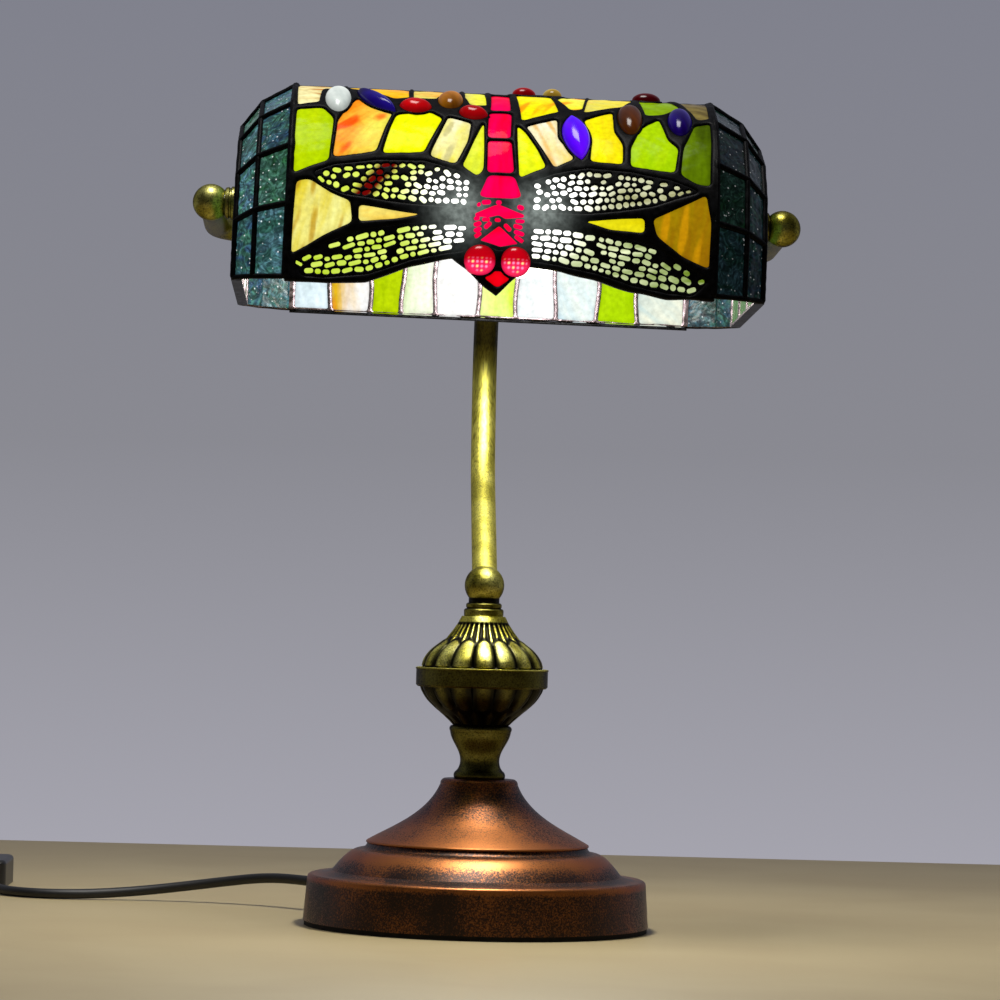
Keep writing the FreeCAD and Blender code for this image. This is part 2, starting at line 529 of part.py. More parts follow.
def stem_and_yoke(ball):
    """Bent tube, hub, yoke tube and its ball ends with the nipples that carry the shade."""
    wire = rounded_path([(0, y, z) for y, z in STEM_ROUTE], STEM_BENDS, "stem")
    y1, z1 = STEM_ROUTE[-2]
    d = V(0, HUB_Y - y1, HUB_Z - z1).normalize()
    hub_c = V(0, HUB_Y, HUB_Z)
    top = Part.makeCylinder(40, 60, hub_c - d * 14, d)
    solid_stem = sweep(wire, TUBE_R).cut(top)
    save("stem_ball", ball.cut(solid_stem))
    save("stem_tube", solid_stem.cut(sweep(wire, TUBE_R - TUBE_WALL)))
    yoke_wire = rounded_path([(-END_X, PIVOT_Y + YOKE_ARM_GAP, PIVOT_Z), (-END_X, HUB_Y, HUB_Z), (END_X, HUB_Y, HUB_Z),
                              (END_X, PIVOT_Y + YOKE_ARM_GAP, PIVOT_Z)], (YOKE_BEND, YOKE_BEND), "yoke")
    solid_yoke = lean(sweep(yoke_wire, YOKE_R))
    save("yoke_tube", solid_yoke.cut(lean(sweep(yoke_wire, YOKE_R - TUBE_WALL))))
    sleeve = Part.makeCylinder(9.2, 30, V(-15, HUB_Y, HUB_Z), X_AXIS)
    sleeve = sleeve.fuse(Part.makeCylinder(8.4, 25, hub_c - d * 25, d)).removeSplitter()
    pieces = sleeve.cut(solid_yoke).cut(solid_stem).Solids
    save("yoke_hub", Part.makeCompound([max(pieces, key=lambda piece: piece.Volume)]))
    balls, nipples, washers = [], [], []
    for side, name in ((-1, "left"), (1, "right")):
        end = Part.makeSphere(END_BALL_R, V(END_X * side, 0, 0))
        keep = Part.makeBox(40, 40, 40, V(BALL_FACE_X if side > 0 else -BALL_FACE_X - 40, -20, -20))
        inner_x = 104.0 if side > 0 else 117.0
        outer_x = END_X - 3.4
        nipple = Part.makeCylinder(NIPPLE_R, outer_x - inner_x, V(inner_x if side > 0 else -outer_x, 0, 0), X_AXIS)
        bore = Part.makeCylinder(NIPPLE_R - 1.4, 60, V(90 if side > 0 else -150, 0, 0), X_AXIS)
        end = at_pivot(end.common(keep).cut(nipple), False)
        balls.append(end.cut(solid_yoke))
        nipples.append(at_pivot(nipple.cut(bore), False))
        a, b = NUT_X
        r = NIPPLE_R + RUN_GAP
        mid = (a + b) / 2
        nut = turned([(r, a), (NUT_R - 0.5, a), (NUT_R, a + 0.5), (NUT_R, mid - 0.7), (NUT_R - 0.9, mid - 0.2),
                      (NUT_R - 0.9, mid + 0.2), (NUT_R - 0.3, mid + 0.7), (NUT_R - 0.6, b - 0.6),
                      (NUT_R - 1.4, b), (r, b)])
        save("friction_nut_" + name, at_pivot(along_x(nut, side), False))
        washer = turned([(NIPPLE_R, a - 1.2), (10.4, a - 1.2), (10.4, a - 0.15), (NIPPLE_R, a - 0.15)])
        washers.append(at_pivot(along_x(washer, side), False))
    save("yoke_balls", Part.makeCompound(balls))
    save("pivot_nipples", Part.makeCompound(nipples))
    save("pivot_washers", Part.makeCompound(washers))


def lamp_holder():
    """Holder and bulb on the right nipple, along the pivot axis; x runs from the holder to the globe."""
    cap = turned([(NIPPLE_R, 104), (NIPPLE_R, 109), (9, 109), (16, 106), (17.4, 100), (17.4, 92), (16.2, 92),
                  (16.2, 99.6), (14.8, 104)])
    save("holder_cap", at_pivot(along_x(cap, 1), False))
    shell = turned([(13.4, 61), (15.6, 61), (16.2, 62), (16.2, 99.6), (14.8, 104), (NIPPLE_R, 104), (NIPPLE_R, 99),
                    (13.4, 99)])
    save("holder_shell", at_pivot(along_x(shell, 1), False))
    contact = Part.makeCylinder(12.0, 6, V(92.5, 0, 0), X_AXIS)
    save("holder_contact_block", at_pivot(contact, False))
    cap_solid = turned([(0, 92.0), (4, 92.0), (4, 89.5), (12.6, 86), (13.1, 84), (12.4, 82), (13.1, 80), (12.4, 78),
                        (13.1, 76), (12.4, 74), (13.1, 72), (13.1, 66), (12.0, 66), (12.0, 84), (0, 87.5)])
    save("bulb_cap", at_pivot(along_x(cap_solid, 1), False))
    glass = revolve([
        [(11.9, 80), (11.9, 66)],
        [(11.9, 66), (13.5, 56), (20.0, 40), (28.0, 22), (30.0, 8), (26.0, -7), (15.0, -18), (0, -22)],
        [(0, -22), (0, -20.9)],
        [(0, -20.9), (14.4, -17.1), (25.1, -6.4), (28.9, 8), (27.0, 21.7), (19.0, 39.5), (12.4, 56), (10.8, 66)],
        [(10.8, 66), (10.8, 80)],
        [(10.8, 80), (11.9, 80)]])
    save("bulb_glass", at_pivot(along_x(glass, 1), False))


# ---------------------------------------------------------------- cord
def in_line_switch():
    """Two-part housing on the cord with its rocker, which is at rest with its far end up."""
    body = rounded_box(SWITCH_W, SWITCH_L, SWITCH_H, 6.0)
    body = body.makeFillet(2.4, [e for e in body.Edges if e.BoundBox.ZMin > SWITCH_H - 0.1])
    centre = V(SWITCH_X, SWITCH_Y + SWITCH_L / 2, 0)
    body.translate(centre)
    pocket = Part.makeBox(10.4, 19.4, 12, centre + V(-5.2, -9.7, 7.2))
    split = Part.makeBox(60, 90, 40, centre + V(-30, -45, SWITCH_H / 2 - 40))
    save("switch_base", body.common(split).cut(pocket))
    save("switch_cover", body.cut(split).cut(pocket))
    rocker_axis = SWITCH_H - 2.6
    bar = Part.Face(Part.makePolygon([V(-4.9, y, z) for y, z in (
        (-8.9, 0.4), (-8.9, 1.6), (0.0, 2.9), (8.6, 5.0), (8.9, 3.6), (4.0, -3.2), (-4.0, -3.2), (-8.9, 0.4))]))
    bar = bar.extrude(V(9.8, 0, 0))
    bar.translate(centre + V(0, 0, rocker_axis))
    save("switch_rocker", bar)
    return body


def cord():
    """Mains lead with its in-line switch, coil and plug, as they lie on the table."""
    r = CORD_D / 2
    housing = in_line_switch()
    for name, route in (("cord_lead", LEAD_ROUTE), ("cord_tail", TAIL_ROUTE), ("cord_end", PLUG_ROUTE)):
        wire = rounded_path(route, None, name)
        tube = sweep(wire, r)
        print("%-22s volume over section times length %.4f" % (name, tube.Volume / (math.pi * r * r * wire.Length)))
        save(name, tube.cut(housing))
    z_top = CORD_D + (COIL_LAYERS - 1) * CORD_D + 0.3
    coil = turned([(COIL_IN - r, 0.1), (COIL_OUT + r, 0.1), (COIL_OUT + r, z_top), (COIL_IN - r, z_top)])
    coil.translate(V(COIL_C[0], COIL_C[1], 0))
    tail_end = sweep(rounded_path(TAIL_ROUTE), r)
    plug_end = sweep(rounded_path(PLUG_ROUTE), r)
    save("cord_coil", coil.cut(tail_end).cut(plug_end))

    px, py, pz = PLUG_ROUTE[-1]
    plug_axis = Part.Face(Part.makePolygon([V(x, 0, z) for x, z in (
        (-PLUG_W / 2, -3), (-PLUG_W / 2 + 4, -PLUG_H / 2), (PLUG_W / 2 - 4, -PLUG_H / 2), (PLUG_W / 2, -3),
        (PLUG_W / 2, 3), (PLUG_W / 2 - 4, PLUG_H / 2), (-PLUG_W / 2 + 4, PLUG_H / 2), (-PLUG_W / 2, 3),
        (-PLUG_W / 2, -3))])).extrude(V(0, -PLUG_L, 0))
    relief = Part.makeCone(3.6, 5.0, 22, V(0, 22, 0), V(0, -1, 0))
    relief = relief.cut(Part.makeCylinder(r, 60, V(0, 60, 0), V(0, -1, 0)).cut(Part.makeBox(20, 4, 20, V(-10, -4, -10))))
    plug_y = py - 22
    plug = plug_axis.fuse(relief).removeSplitter()
    plug.translate(V(px, plug_y, pz))
    save("plug_body", plug.cut(plug_end))
    pins = []
    for s in (-1, 1):
        pin = Part.makeCylinder(PIN_R, PIN_L - 1, V(s * PIN_PITCH / 2, -PLUG_L, 0), V(0, -1, 0))
        tip = Part.makeCone(PIN_R, PIN_R - 1, 1, V(s * PIN_PITCH / 2, -PLUG_L - PIN_L + 1, 0), V(0, -1, 0))
        pins.append(pin.fuse(tip).removeSplitter())
    pins = Part.makeCompound(pins)
    pins.translate(V(px, plug_y, pz))
    save("plug_pins", pins)


base()
stem_and_yoke(column())
front_panel()
back_panel()
save("pivot_bushes", Part.makeCompound([shade_end(-1), shade_end(1)]))
lamp_holder()
cord()
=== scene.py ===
import json
import math
import random

import bpy
import numpy as np
from mathutils import Matrix, Vector

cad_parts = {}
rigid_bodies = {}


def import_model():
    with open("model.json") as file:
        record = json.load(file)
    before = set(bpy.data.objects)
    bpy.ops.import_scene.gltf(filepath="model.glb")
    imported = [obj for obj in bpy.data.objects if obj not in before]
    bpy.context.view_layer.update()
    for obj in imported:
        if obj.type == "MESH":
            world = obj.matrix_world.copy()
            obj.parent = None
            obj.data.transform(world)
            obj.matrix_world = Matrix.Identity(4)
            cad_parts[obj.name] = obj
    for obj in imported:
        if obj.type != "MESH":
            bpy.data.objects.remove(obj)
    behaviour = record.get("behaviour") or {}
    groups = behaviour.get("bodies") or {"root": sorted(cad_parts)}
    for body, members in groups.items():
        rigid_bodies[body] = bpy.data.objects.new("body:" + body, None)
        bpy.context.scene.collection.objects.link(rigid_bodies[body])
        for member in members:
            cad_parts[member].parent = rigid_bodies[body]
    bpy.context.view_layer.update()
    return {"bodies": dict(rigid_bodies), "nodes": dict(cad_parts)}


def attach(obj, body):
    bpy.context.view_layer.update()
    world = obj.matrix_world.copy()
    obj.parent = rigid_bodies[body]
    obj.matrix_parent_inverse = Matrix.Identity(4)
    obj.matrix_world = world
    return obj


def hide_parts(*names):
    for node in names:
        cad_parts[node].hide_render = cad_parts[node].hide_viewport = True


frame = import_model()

NODES = frame["nodes"]
MM = 0.001

# ------ dimensions, as in the frame (mm)
PIVOT_Y, PIVOT_Z = -43.0, 351.5
TILT, LEAN = math.radians(1.5), math.radians(0.94)
SHADE_R, SIDE, DROP = 75.0, 27.0, 43.8
HALF = SIDE + SHADE_R * math.pi / 2
X_FRONT, X_MID, X_END = 101.0, 116.5, 125.8
K_MID, K_END = 0.912, 0.79
GLASS_T = 3.2
TILE_ROWS = [0.0, 36.0, 67.0, 98.0, 131.0]
BACK_SEAMS = [-99.5, -81.0, -60.5, -44.0, -27.5, -5.5, 14.0, 33.5, 55.0, 75.0, 99.5]
BACK_ROWS = [0.2, 48.0, 97.0, 143.0]
SEAM = 2.4
# Corner radii of the front panes, the wings, the back strips and the end panes.
PANE_CORNER, WING_CORNER, STRIP_CORNER, END_CORNER = 2.2, 2.0, 1.0, 1.2
BAND_Z = (119.5, 129.2)
URN_TOP_Z = 155.1
VASE_TOP_Z = 100.5
CORD_D = 5.2
LOBES, URN_WALL = 16, 2.6

# The cord's route, in millimetres, from its strain relief to the plug.
EXIT = (-78.0, 78.0, 15.0)
LEAD_ROUTE = [EXIT, (-91.5, 91.5, 15.6), (-108, 105, 15.0), (-127, 115, 12.0), (-149, 121.5, 8.4),
              (-172, 124.5, 5.2), (-195, 123, 3.2), (-216, 119.5, 2.7), (-235.5, 125.5, 2.7),
              (-249.5, 142, 2.8), (-258.5, 166, 4.6), (-262, 191, 7.2)]
TAIL_ROUTE = [(-262, 247, 7.2), (-263.5, 262, 4.8), (-272, 276, 3.2), (-288, 284, 2.7), (-304, 286, 2.7),
              (-322, 285, 2.7)]
COIL_C = (-322.0, 244.0)
COIL_IN, COIL_OUT = 21.4, 41.0
LAYER_Z = (2.7, 7.9)
PLUG_ROUTE = [(-363.0, 244.0, 7.9), (-364.0, 232.0, 7.7), (-365.5, 218.0, 7.2)]

# Front panes: outlines in (x, girth), by kind of glass.
PANES = {
    "glass_green": [
        [(-99.5, 92), (-87, 94), (-82, 86), (-83, 59), (-92, 55), (-99.5, 51)],
        [(74, 98), (78, 81), (83, 75), (81, 61), (60, 63), (60, 74), (65, 88)],
        [(91, 93), (98.5, 96), (98, 54), (91, 55), (84, 60), (85.5, 75)],
        [(66, 142), (79, 142), (85, 114), (76, 103), (68, 101), (66, 122)],
    ],
    "glass_yellow": [
        [(-52, 91), (-36, 95), (-30, 90), (-38, 66), (-58, 64)],
        [(-10, 87), (-10, 57), (-13, 54), (-20, 59), (-15, 74)],
        [(6, 86), (10, 81), (16, 70), (20, 60), (13, 57), (7, 54)],
        [(38, 94), (52, 103), (52, 86), (56, 76), (56, 64), (41, 65), (42, 78)],
        [(-75, 142), (-46, 142), (-46, 110), (-53, 107), (-64, 118), (-75, 122)],
        [(-43.5, 109), (-43.5, 142), (-21, 142), (-23, 122), (-32, 110)],
        [(-18.5, 142), (-9, 142), (-9, 104), (-16, 104), (-19, 116)],
        [(6, 132), (22, 132), (26, 101), (8, 91)],
        [(32, 103), (25.5, 121), (32, 142), (40, 142), (40, 130), (37, 105)],
        [(43, 142), (62, 142), (63, 126), (56, 111), (38, 101)],
    ],
    "glass_opal": [
        [(-71, 106), (-54, 92), (-61, 65), (-81, 61), (-80, 84)],
        [(-27, 91), (-16, 87), (-18, 74), (-23, 60), (-35, 64)],
        [(10, 86), (25, 94), (25, 79), (33, 66), (24, 60), (19, 70)],
        [(-99.5, 96), (-89, 100), (-88, 118), (-78, 122), (-78, 142), (-99.5, 142)],
        [(82, 142), (98.5, 142), (98.5, 101), (93, 99), (89, 113)],
    ],
    "glass_amber": [
        [(-98, 47), (-92, 48), (-81, 42), (-72, 38.5), (-71, 28), (-85, 21), (-98.5, 12)],
        [(-68, 36.5), (-39, 33.5), (-50, 31), (-68, 28.5)],
        [(71, 36), (96, 49), (98.5, 36), (98.5, 14), (86, 19), (73, 28.5)],
        [(39, 33.5), (67, 36.5), (67, 29.5), (51, 30)],
    ],
    "glass_red": [
        [(-6, 126), (2, 126), (1, 142), (-5, 142)],
        [(-7, 99), (2.5, 99), (2.5, 124), (-6, 124)],
        [(-8, 77), (3, 77), (3, 97), (-7.5, 97)],
        [(-8, 56), (4.5, 56), (3.5, 75), (-8, 75)],
        [(-11.3, 43.6), (-1.5, 41.6), (8.5, 44), (4.9, 54.4), (-7.4, 54.4)],
        [(-14, 42), (10.5, 42), (11.5, 24), (8, 19.5), (-1, 18), (-11, 20.5), (-14, 26)],
        [(-8, 5), (-4, 8.5), (1, 8.5), (5, 5), (-1.5, 0)],
    ],
}
# Wings: outline of the filigree as an upper and a lower edge, both from the root to the tip.
WINGS = [
    ([(-15, 50), (-20, 55), (-38, 60.5), (-61, 59.5), (-80, 56), (-90, 51)],
     [(-16, 38), (-38, 38), (-57, 39.5), (-75, 42), (-86, 46), (-90, 51)]),
    ([(-16, 30), (-29, 30.5), (-50, 27.5), (-70, 23), (-85, 17), (-97, 8)],
     [(-17, 17), (-24, 16), (-43, 11.5), (-63, 4), (-81, 1.8), (-93, 2), (-97, 8)]),
    ([(13, 52), (24, 56), (40, 60), (61, 59), (79, 56), (92, 50)],
     [(13, 37), (39, 37.5), (55, 39.5), (71, 43), (86, 48), (92, 50)]),
    ([(13, 30), (32, 30), (51, 27), (70, 24), (82, 17), (98, 8)],
     [(14, 14), (29, 12.5), (44, 9.5), (62, 4.5), (79, 1.8), (91, 1.2), (98, 8)]),
]
# Cut gems: (x, girth, half length, half width, turn in degrees, pointed).
GEMS = {
    "gems_red": [(-43, 99, 7.5, 5.5, 0, True), (-15, 94.5, 6.4, 4.6, -8, True), (10, 138, 5.5, 4, 0, False),
                 (70, 135, 6.5, 4.5, 0, False)],
    "gems_amber": [(-26, 108, 9, 5.6, 90, False), (24, 138, 4.6, 4.5, 0, False),
                   (60, 97, 13, 5.6, 90, False)],
    "gems_blue": [(-62, 103.5, 14, 4.4, -50, True), (34, 80.5, 15, 6.2, -80, True),
                  (84, 96.5, 11.5, 5.4, 90, False)],
    "gem_white": [(-80, 104.5, 13.5, 5.5, 90, False)],
    "dragonfly_eyes": [(-10, 13, 6.7, 6.6, 0, False), (7, 13, 6.7, 6.6, 0, False)],
}
OVALS = [gem for gems in GEMS.values() for gem in gems]
GEM_LEAD = 1.6
FRONT_RIM = [(-101.5, -1), (-81, -1), (-63, 0.5), (-43, 8), (-23, 13.5), (-17, 9), (-9, 2), (-1.5, -3),
             (6, 4), (14, 11), (29, 9.5), (44, 6), (62, 1), (79, -1.5), (101.5, -1.5)]

def srgb(*percents):
    """Linear colour from display values in percent."""
    rgb = [c / 100 for c in percents]
    return np.array([c / 12.92 if c <= 0.04045 else ((c + 0.055) / 1.055) ** 2.4 for c in rgb])


# ------ shapes in the plane
def wobble(x, y, size, seed):
    """Smooth waves between about -1 and 1, at least size across."""
    rng = random.Random(seed)
    total = 0.0
    for _ in range(5):
        a = rng.uniform(0, math.tau)
        k = math.tau / (size * rng.uniform(1.0, 2.4))
        total = total + np.sin((x * math.cos(a) + y * math.sin(a)) * k + rng.uniform(0, math.tau))
    return total / 3.2


def rounded(outline, radius, steps=4):
    """The outline with its corners rounded."""
    out = []
    count = len(outline)
    for i in range(count):
        p, q, r = (np.array(outline[(i + k) % count], float) for k in (-1, 0, 1))
        a, b = p - q, r - q
        la, lb = np.linalg.norm(a), np.linalg.norm(b)
        start, end = q + a * min(radius / la, 0.45), q + b * min(radius / lb, 0.45)
        for s in range(steps + 1):
            t = s / steps
            out.append(tuple((1 - t) ** 2 * start + 2 * t * (1 - t) * q + t * t * end))
    return out


def polygon_distance(x, y, outline):
    """Distance to a closed outline, positive inside it."""
    best = np.full(x.shape, 1e9)
    hit = np.zeros(x.shape, bool)
    for (x0, y0), (x1, y1) in zip(outline, outline[1:] + outline[:1]):
        ex, ey = x1 - x0, y1 - y0
        t = np.clip(((x - x0) * ex + (y - y0) * ey) / max(ex * ex + ey * ey, 1e-9), 0, 1)
        best = np.minimum(best, (x - x0 - t * ex) ** 2 + (y - y0 - t * ey) ** 2)
        if y0 != y1:
            hit ^= ((y0 > y) != (y1 > y)) & (x < x0 + (y - y0) * ex / ey)
    return np.where(hit, 1.0, -1.0) * np.sqrt(best)


def oval_distance(x, y, shape):
    """About the distance to an oval, or to a pointed oval between two arcs, positive inside it."""
    cx, cy, a, b, turn, pointed = shape
    t = math.radians(turn)
    u = (x - cx) * math.cos(t) + (y - cy) * math.sin(t)
    w = (y - cy) * math.cos(t) - (x - cx) * math.sin(t)
    if pointed:
        radius = (a * a + b * b) / (2 * b)
        return radius - np.hypot(u, np.abs(w) + radius - b)
    size = np.sqrt((u / a) ** 2 + (w / b) ** 2)
    slope = np.maximum(np.sqrt((u / a ** 2) ** 2 + (w / b ** 2) ** 2) / np.maximum(size, 1e-6), 1 / max(a, b))
    return np.where(size < 1, (1 - size) * min(a, b), (1 - size) / slope)


def bean_distance(x, y, cell):
    """Distance to a bar with round ends, positive inside it."""
    cx, cy, a, b, turn = cell
    u = (x - cx) * math.cos(turn) + (y - cy) * math.sin(turn)
    w = (y - cy) * math.cos(turn) - (x - cx) * math.sin(turn)
    return b - np.hypot(np.maximum(np.abs(u) - (a - b), 0), w)


def warped(x, g):
    """The slight irregularity of glass cut and soldered by hand."""
    return x + 0.35 * wobble(x, g, 16, 5), g + 0.35 * wobble(x, g, 14, 6)


def grid(box, step, margin=0.0):
    """Node coordinates of a grid that covers a box and a margin round it."""
    x0, x1, y0, y1 = box
    xs = np.arange(x0 - margin - 2 * step, x1 + margin + 2.5 * step, step)
    ys = np.arange(y0 - margin - 2 * step, y1 + margin + 2.5 * step, step)
    return np.meshgrid(xs, ys, indexing="ij")


def union(x, y, shapes, distance, reach=4.0):
    """The greatest of several distances, each worked out only near its own shape."""
    out = np.full(x.shape, -reach)
    for shape in shapes:
        x0, x1, y0, y1 = box_of(shape)
        i0, i1 = np.searchsorted(x[:, 0], (x0 - reach, x1 + reach))
        j0, j1 = np.searchsorted(y[0], (y0 - reach, y1 + reach))
        part = (slice(i0, i1), slice(j0, j1))
        wx, wy = warped(x[part], y[part])
        out[part] = np.maximum(out[part], distance(wx, wy, shape))
    return out


def box_of(shape):
    """(x0, x1, y0, y1) round an outline, or round an oval or a bar given from its centre."""
    if isinstance(shape, list):
        xs, ys = zip(*shape)
        return min(xs), max(xs), min(ys), max(ys)
    x, y, reach = shape[:3]
    return x - reach, x + reach, y - reach, y + reach


# ------ meshes
def on_shade(x, g, lift):
    """Points of the row frame from x, girth and height above the glass's face."""
    r = SHADE_R + lift
    a = np.clip((g - SIDE) / SHADE_R, 0, math.pi)
    below = np.where(g < SIDE, g - SIDE, 0) + np.where(g > 2 * HALF - SIDE, 2 * HALF - SIDE - g, 0)
    return in_row(x, -r * np.cos(a), SIDE - DROP + r * np.sin(a) + below)


def in_row(x, y, z):
    """Points of the row frame from the shade's own frame."""
    y, z = y * math.cos(TILT) + z * math.sin(TILT) + PIVOT_Y, z * math.cos(TILT) - y * math.sin(TILT)
    return np.stack([x * math.cos(LEAN) + z * math.sin(LEAN), y,
                     z * math.cos(LEAN) - x * math.sin(LEAN) + PIVOT_Z], -1)


def link(name, data):
    """A new object in the scene."""
    obj = bpy.data.objects.new(name, data)
    bpy.context.scene.collection.objects.link(obj)
    return obj


class Piece:
    """Vertices, faces and colours gathered for one object."""

    def __init__(self):
        self.points, self.faces, self.slots, self.count = [], [], [], 0
        self.values = {}

    def add(self, points, faces, slots=0, **values):
        """One more closed shape: a slot for each face or for all, and values for each point or for all."""
        points = np.asarray(points, float).reshape(-1, 3)
        self.points.append(points)
        self.faces += [tuple(int(i) + self.count for i in f) for f in faces]
        self.slots += list(slots) if hasattr(slots, "__len__") else [slots] * len(faces)
        self.count += len(points)
        for key, value in values.items():
            value = np.asarray(value, float)
            wide = value.shape[-1:] if value.shape and len(value) != len(points) or value.ndim == 2 else ()
            self.values.setdefault(key, []).append(np.broadcast_to(value, (len(points), *wide)))

    def make(self, name, materials, node_name, slot, body="shade", sharp=45.0):
        """The object, on its body, in place of the frame's node."""
        mesh = bpy.data.meshes.new(name)
        mesh.from_pydata(np.concatenate(self.points) * MM, [], self.faces)
        mesh.polygons.foreach_set("material_index", np.minimum(self.slots, len(materials) - 1))
        mesh.polygons.foreach_set("use_smooth", [True] * len(self.faces))
        for key, parts in self.values.items():
            data = np.concatenate(parts)
            if data.ndim == 1:
                mesh.attributes.new(key, "FLOAT", "POINT").data.foreach_set("value", data)
            elif key.startswith("col"):
                rgba = np.c_[data, np.ones(len(data))]
                mesh.attributes.new(key, "FLOAT_COLOR", "POINT").data.foreach_set("color", rgba.ravel())
            else:
                mesh.attributes.new(key, "FLOAT_VECTOR", "POINT").data.foreach_set("vector", data.ravel())
        mesh.set_sharp_from_angle(angle=math.radians(sharp))
        for m in materials:
            mesh.materials.append(m)
        obj = link(name, mesh)
        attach(obj, body)
        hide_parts(node_name)


def plate(x, y, field, top, bottom, place, flip=False):
    """Closed plate where field is positive: points, faces, a slot per face, 1 below, and (x, y)."""
    f = np.where(np.abs(field) < 1e-4, 1e-4, field)
    f[0], f[-1], f[:, 0], f[:, -1] = -1, -1, -1, -1
    solid = f > 0
    index = np.full(f.shape, -1)
    index[solid] = np.arange(solid.sum())
    px, py = [x[solid]], [y[solid]]
    node = solid.sum()
    crossings = []
    for axis in (0, 1):
        a = (slice(None, -1), slice(None)) if axis == 0 else (slice(None), slice(None, -1))
        b = (slice(1, None), slice(None)) if axis == 0 else (slice(None), slice(1, None))
        cut = solid[a] != solid[b]
        t = np.clip((f[a] / np.where(cut, f[a] - f[b], 1))[cut], 0.12, 0.88)
        ids = np.full(cut.shape, -1)
        ids[cut] = node + np.arange(cut.sum())
        node += cut.sum()
        crossings.append(ids)
        px.append(x[a][cut] + t * (x[b][cut] - x[a][cut]))
        py.append(y[a][cut] + t * (y[b][cut] - y[a][cut]))
    along_x, along_y = crossings
    corners = [index[:-1, :-1], index[1:, :-1], index[1:, 1:], index[:-1, 1:]]
    edges = [along_x[:, :-1], along_y[1:, :], along_x[:, 1:], along_y[:-1, :]]
    whole = np.all([c >= 0 for c in corners], axis=0)
    faces = list(zip(*[c[whole].tolist() for c in corners]))
    part = ~whole & np.any([c >= 0 for c in corners], axis=0)
    walls = []
    stacked = np.stack([v[part] for pair in zip(corners, edges) for v in pair], -1).tolist()
    for ring in stacked:
        loop = [(v, k % 2) for k, v in enumerate(ring) if v >= 0]
        faces.append(tuple(v for v, _ in loop))
        for (v, kind), (w, other) in zip(loop, loop[1:] + loop[:1]):
            if kind and other:
                walls.append((v, w))
    qx, qy = np.concatenate(px), np.concatenate(py)
    n = len(qx)
    high, low = top(qx, qy), bottom(qx, qy)
    points = np.concatenate([place(qx, qy, high), place(qx, qy, low)])
    under = [tuple(v + n for v in reversed(face)) for face in faces]
    sides = [(v, v + n, w + n, w) for v, w in walls]
    everything = faces + sides + under
    if flip:
        everything = [tuple(reversed(face)) for face in everything]
    slots = [0] * (len(faces) + len(sides)) + [1] * len(under)
    return points, everything, slots, np.concatenate([qx, qx]), np.concatenate([qy, qy])


def reader(x, y, values):
    """Function that reads a grid of values anywhere between its nodes."""
    x0, y0, step = x[0, 0], y[0, 0], x[1, 0] - x[0, 0]

    def read(qx, qy):
        u, v = (qx - x0) / step, (qy - y0) / step
        i = np.clip(u.astype(int), 0, values.shape[0] - 2)
        j = np.clip(v.astype(int), 0, values.shape[1] - 2)
        s, t = u - i, v - j
        return ((1 - s) * (1 - t) * values[i, j] + s * (1 - t) * values[i + 1, j]
                + (1 - s) * t * values[i, j + 1] + s * t * values[i + 1, j + 1])
    return read


def bead(depth, width, height):
    """Rounded rise of a solder line, from its edge to its middle."""
    t = np.clip(depth / width, 0, 1)
    return height * np.sqrt(np.clip(1 - (1 - t) ** 2, 0, 1))


def add_solder(piece, x, y, field, depth, top, under, waves=(0.0, 6, 0), place=on_shade, flip=False,
               bloom=None):
    """Metal where field is positive. Top and under are (height, bead's width, bead's height)."""
    depth = reader(x, y, depth)
    size, length, seed = waves
    points, faces, slots, qx, qy = plate(
        x, y, field, lambda a, b: top[0] + bead(depth(a, b), *top[1:]) + size * wobble(a, b, length, seed),
        lambda a, b: -under[0] - bead(depth(a, b), *under[1:]), place, flip)
    piece.add(points, faces, slots, **({"bloom": bloom(qx, qy)} if bloom else {}))

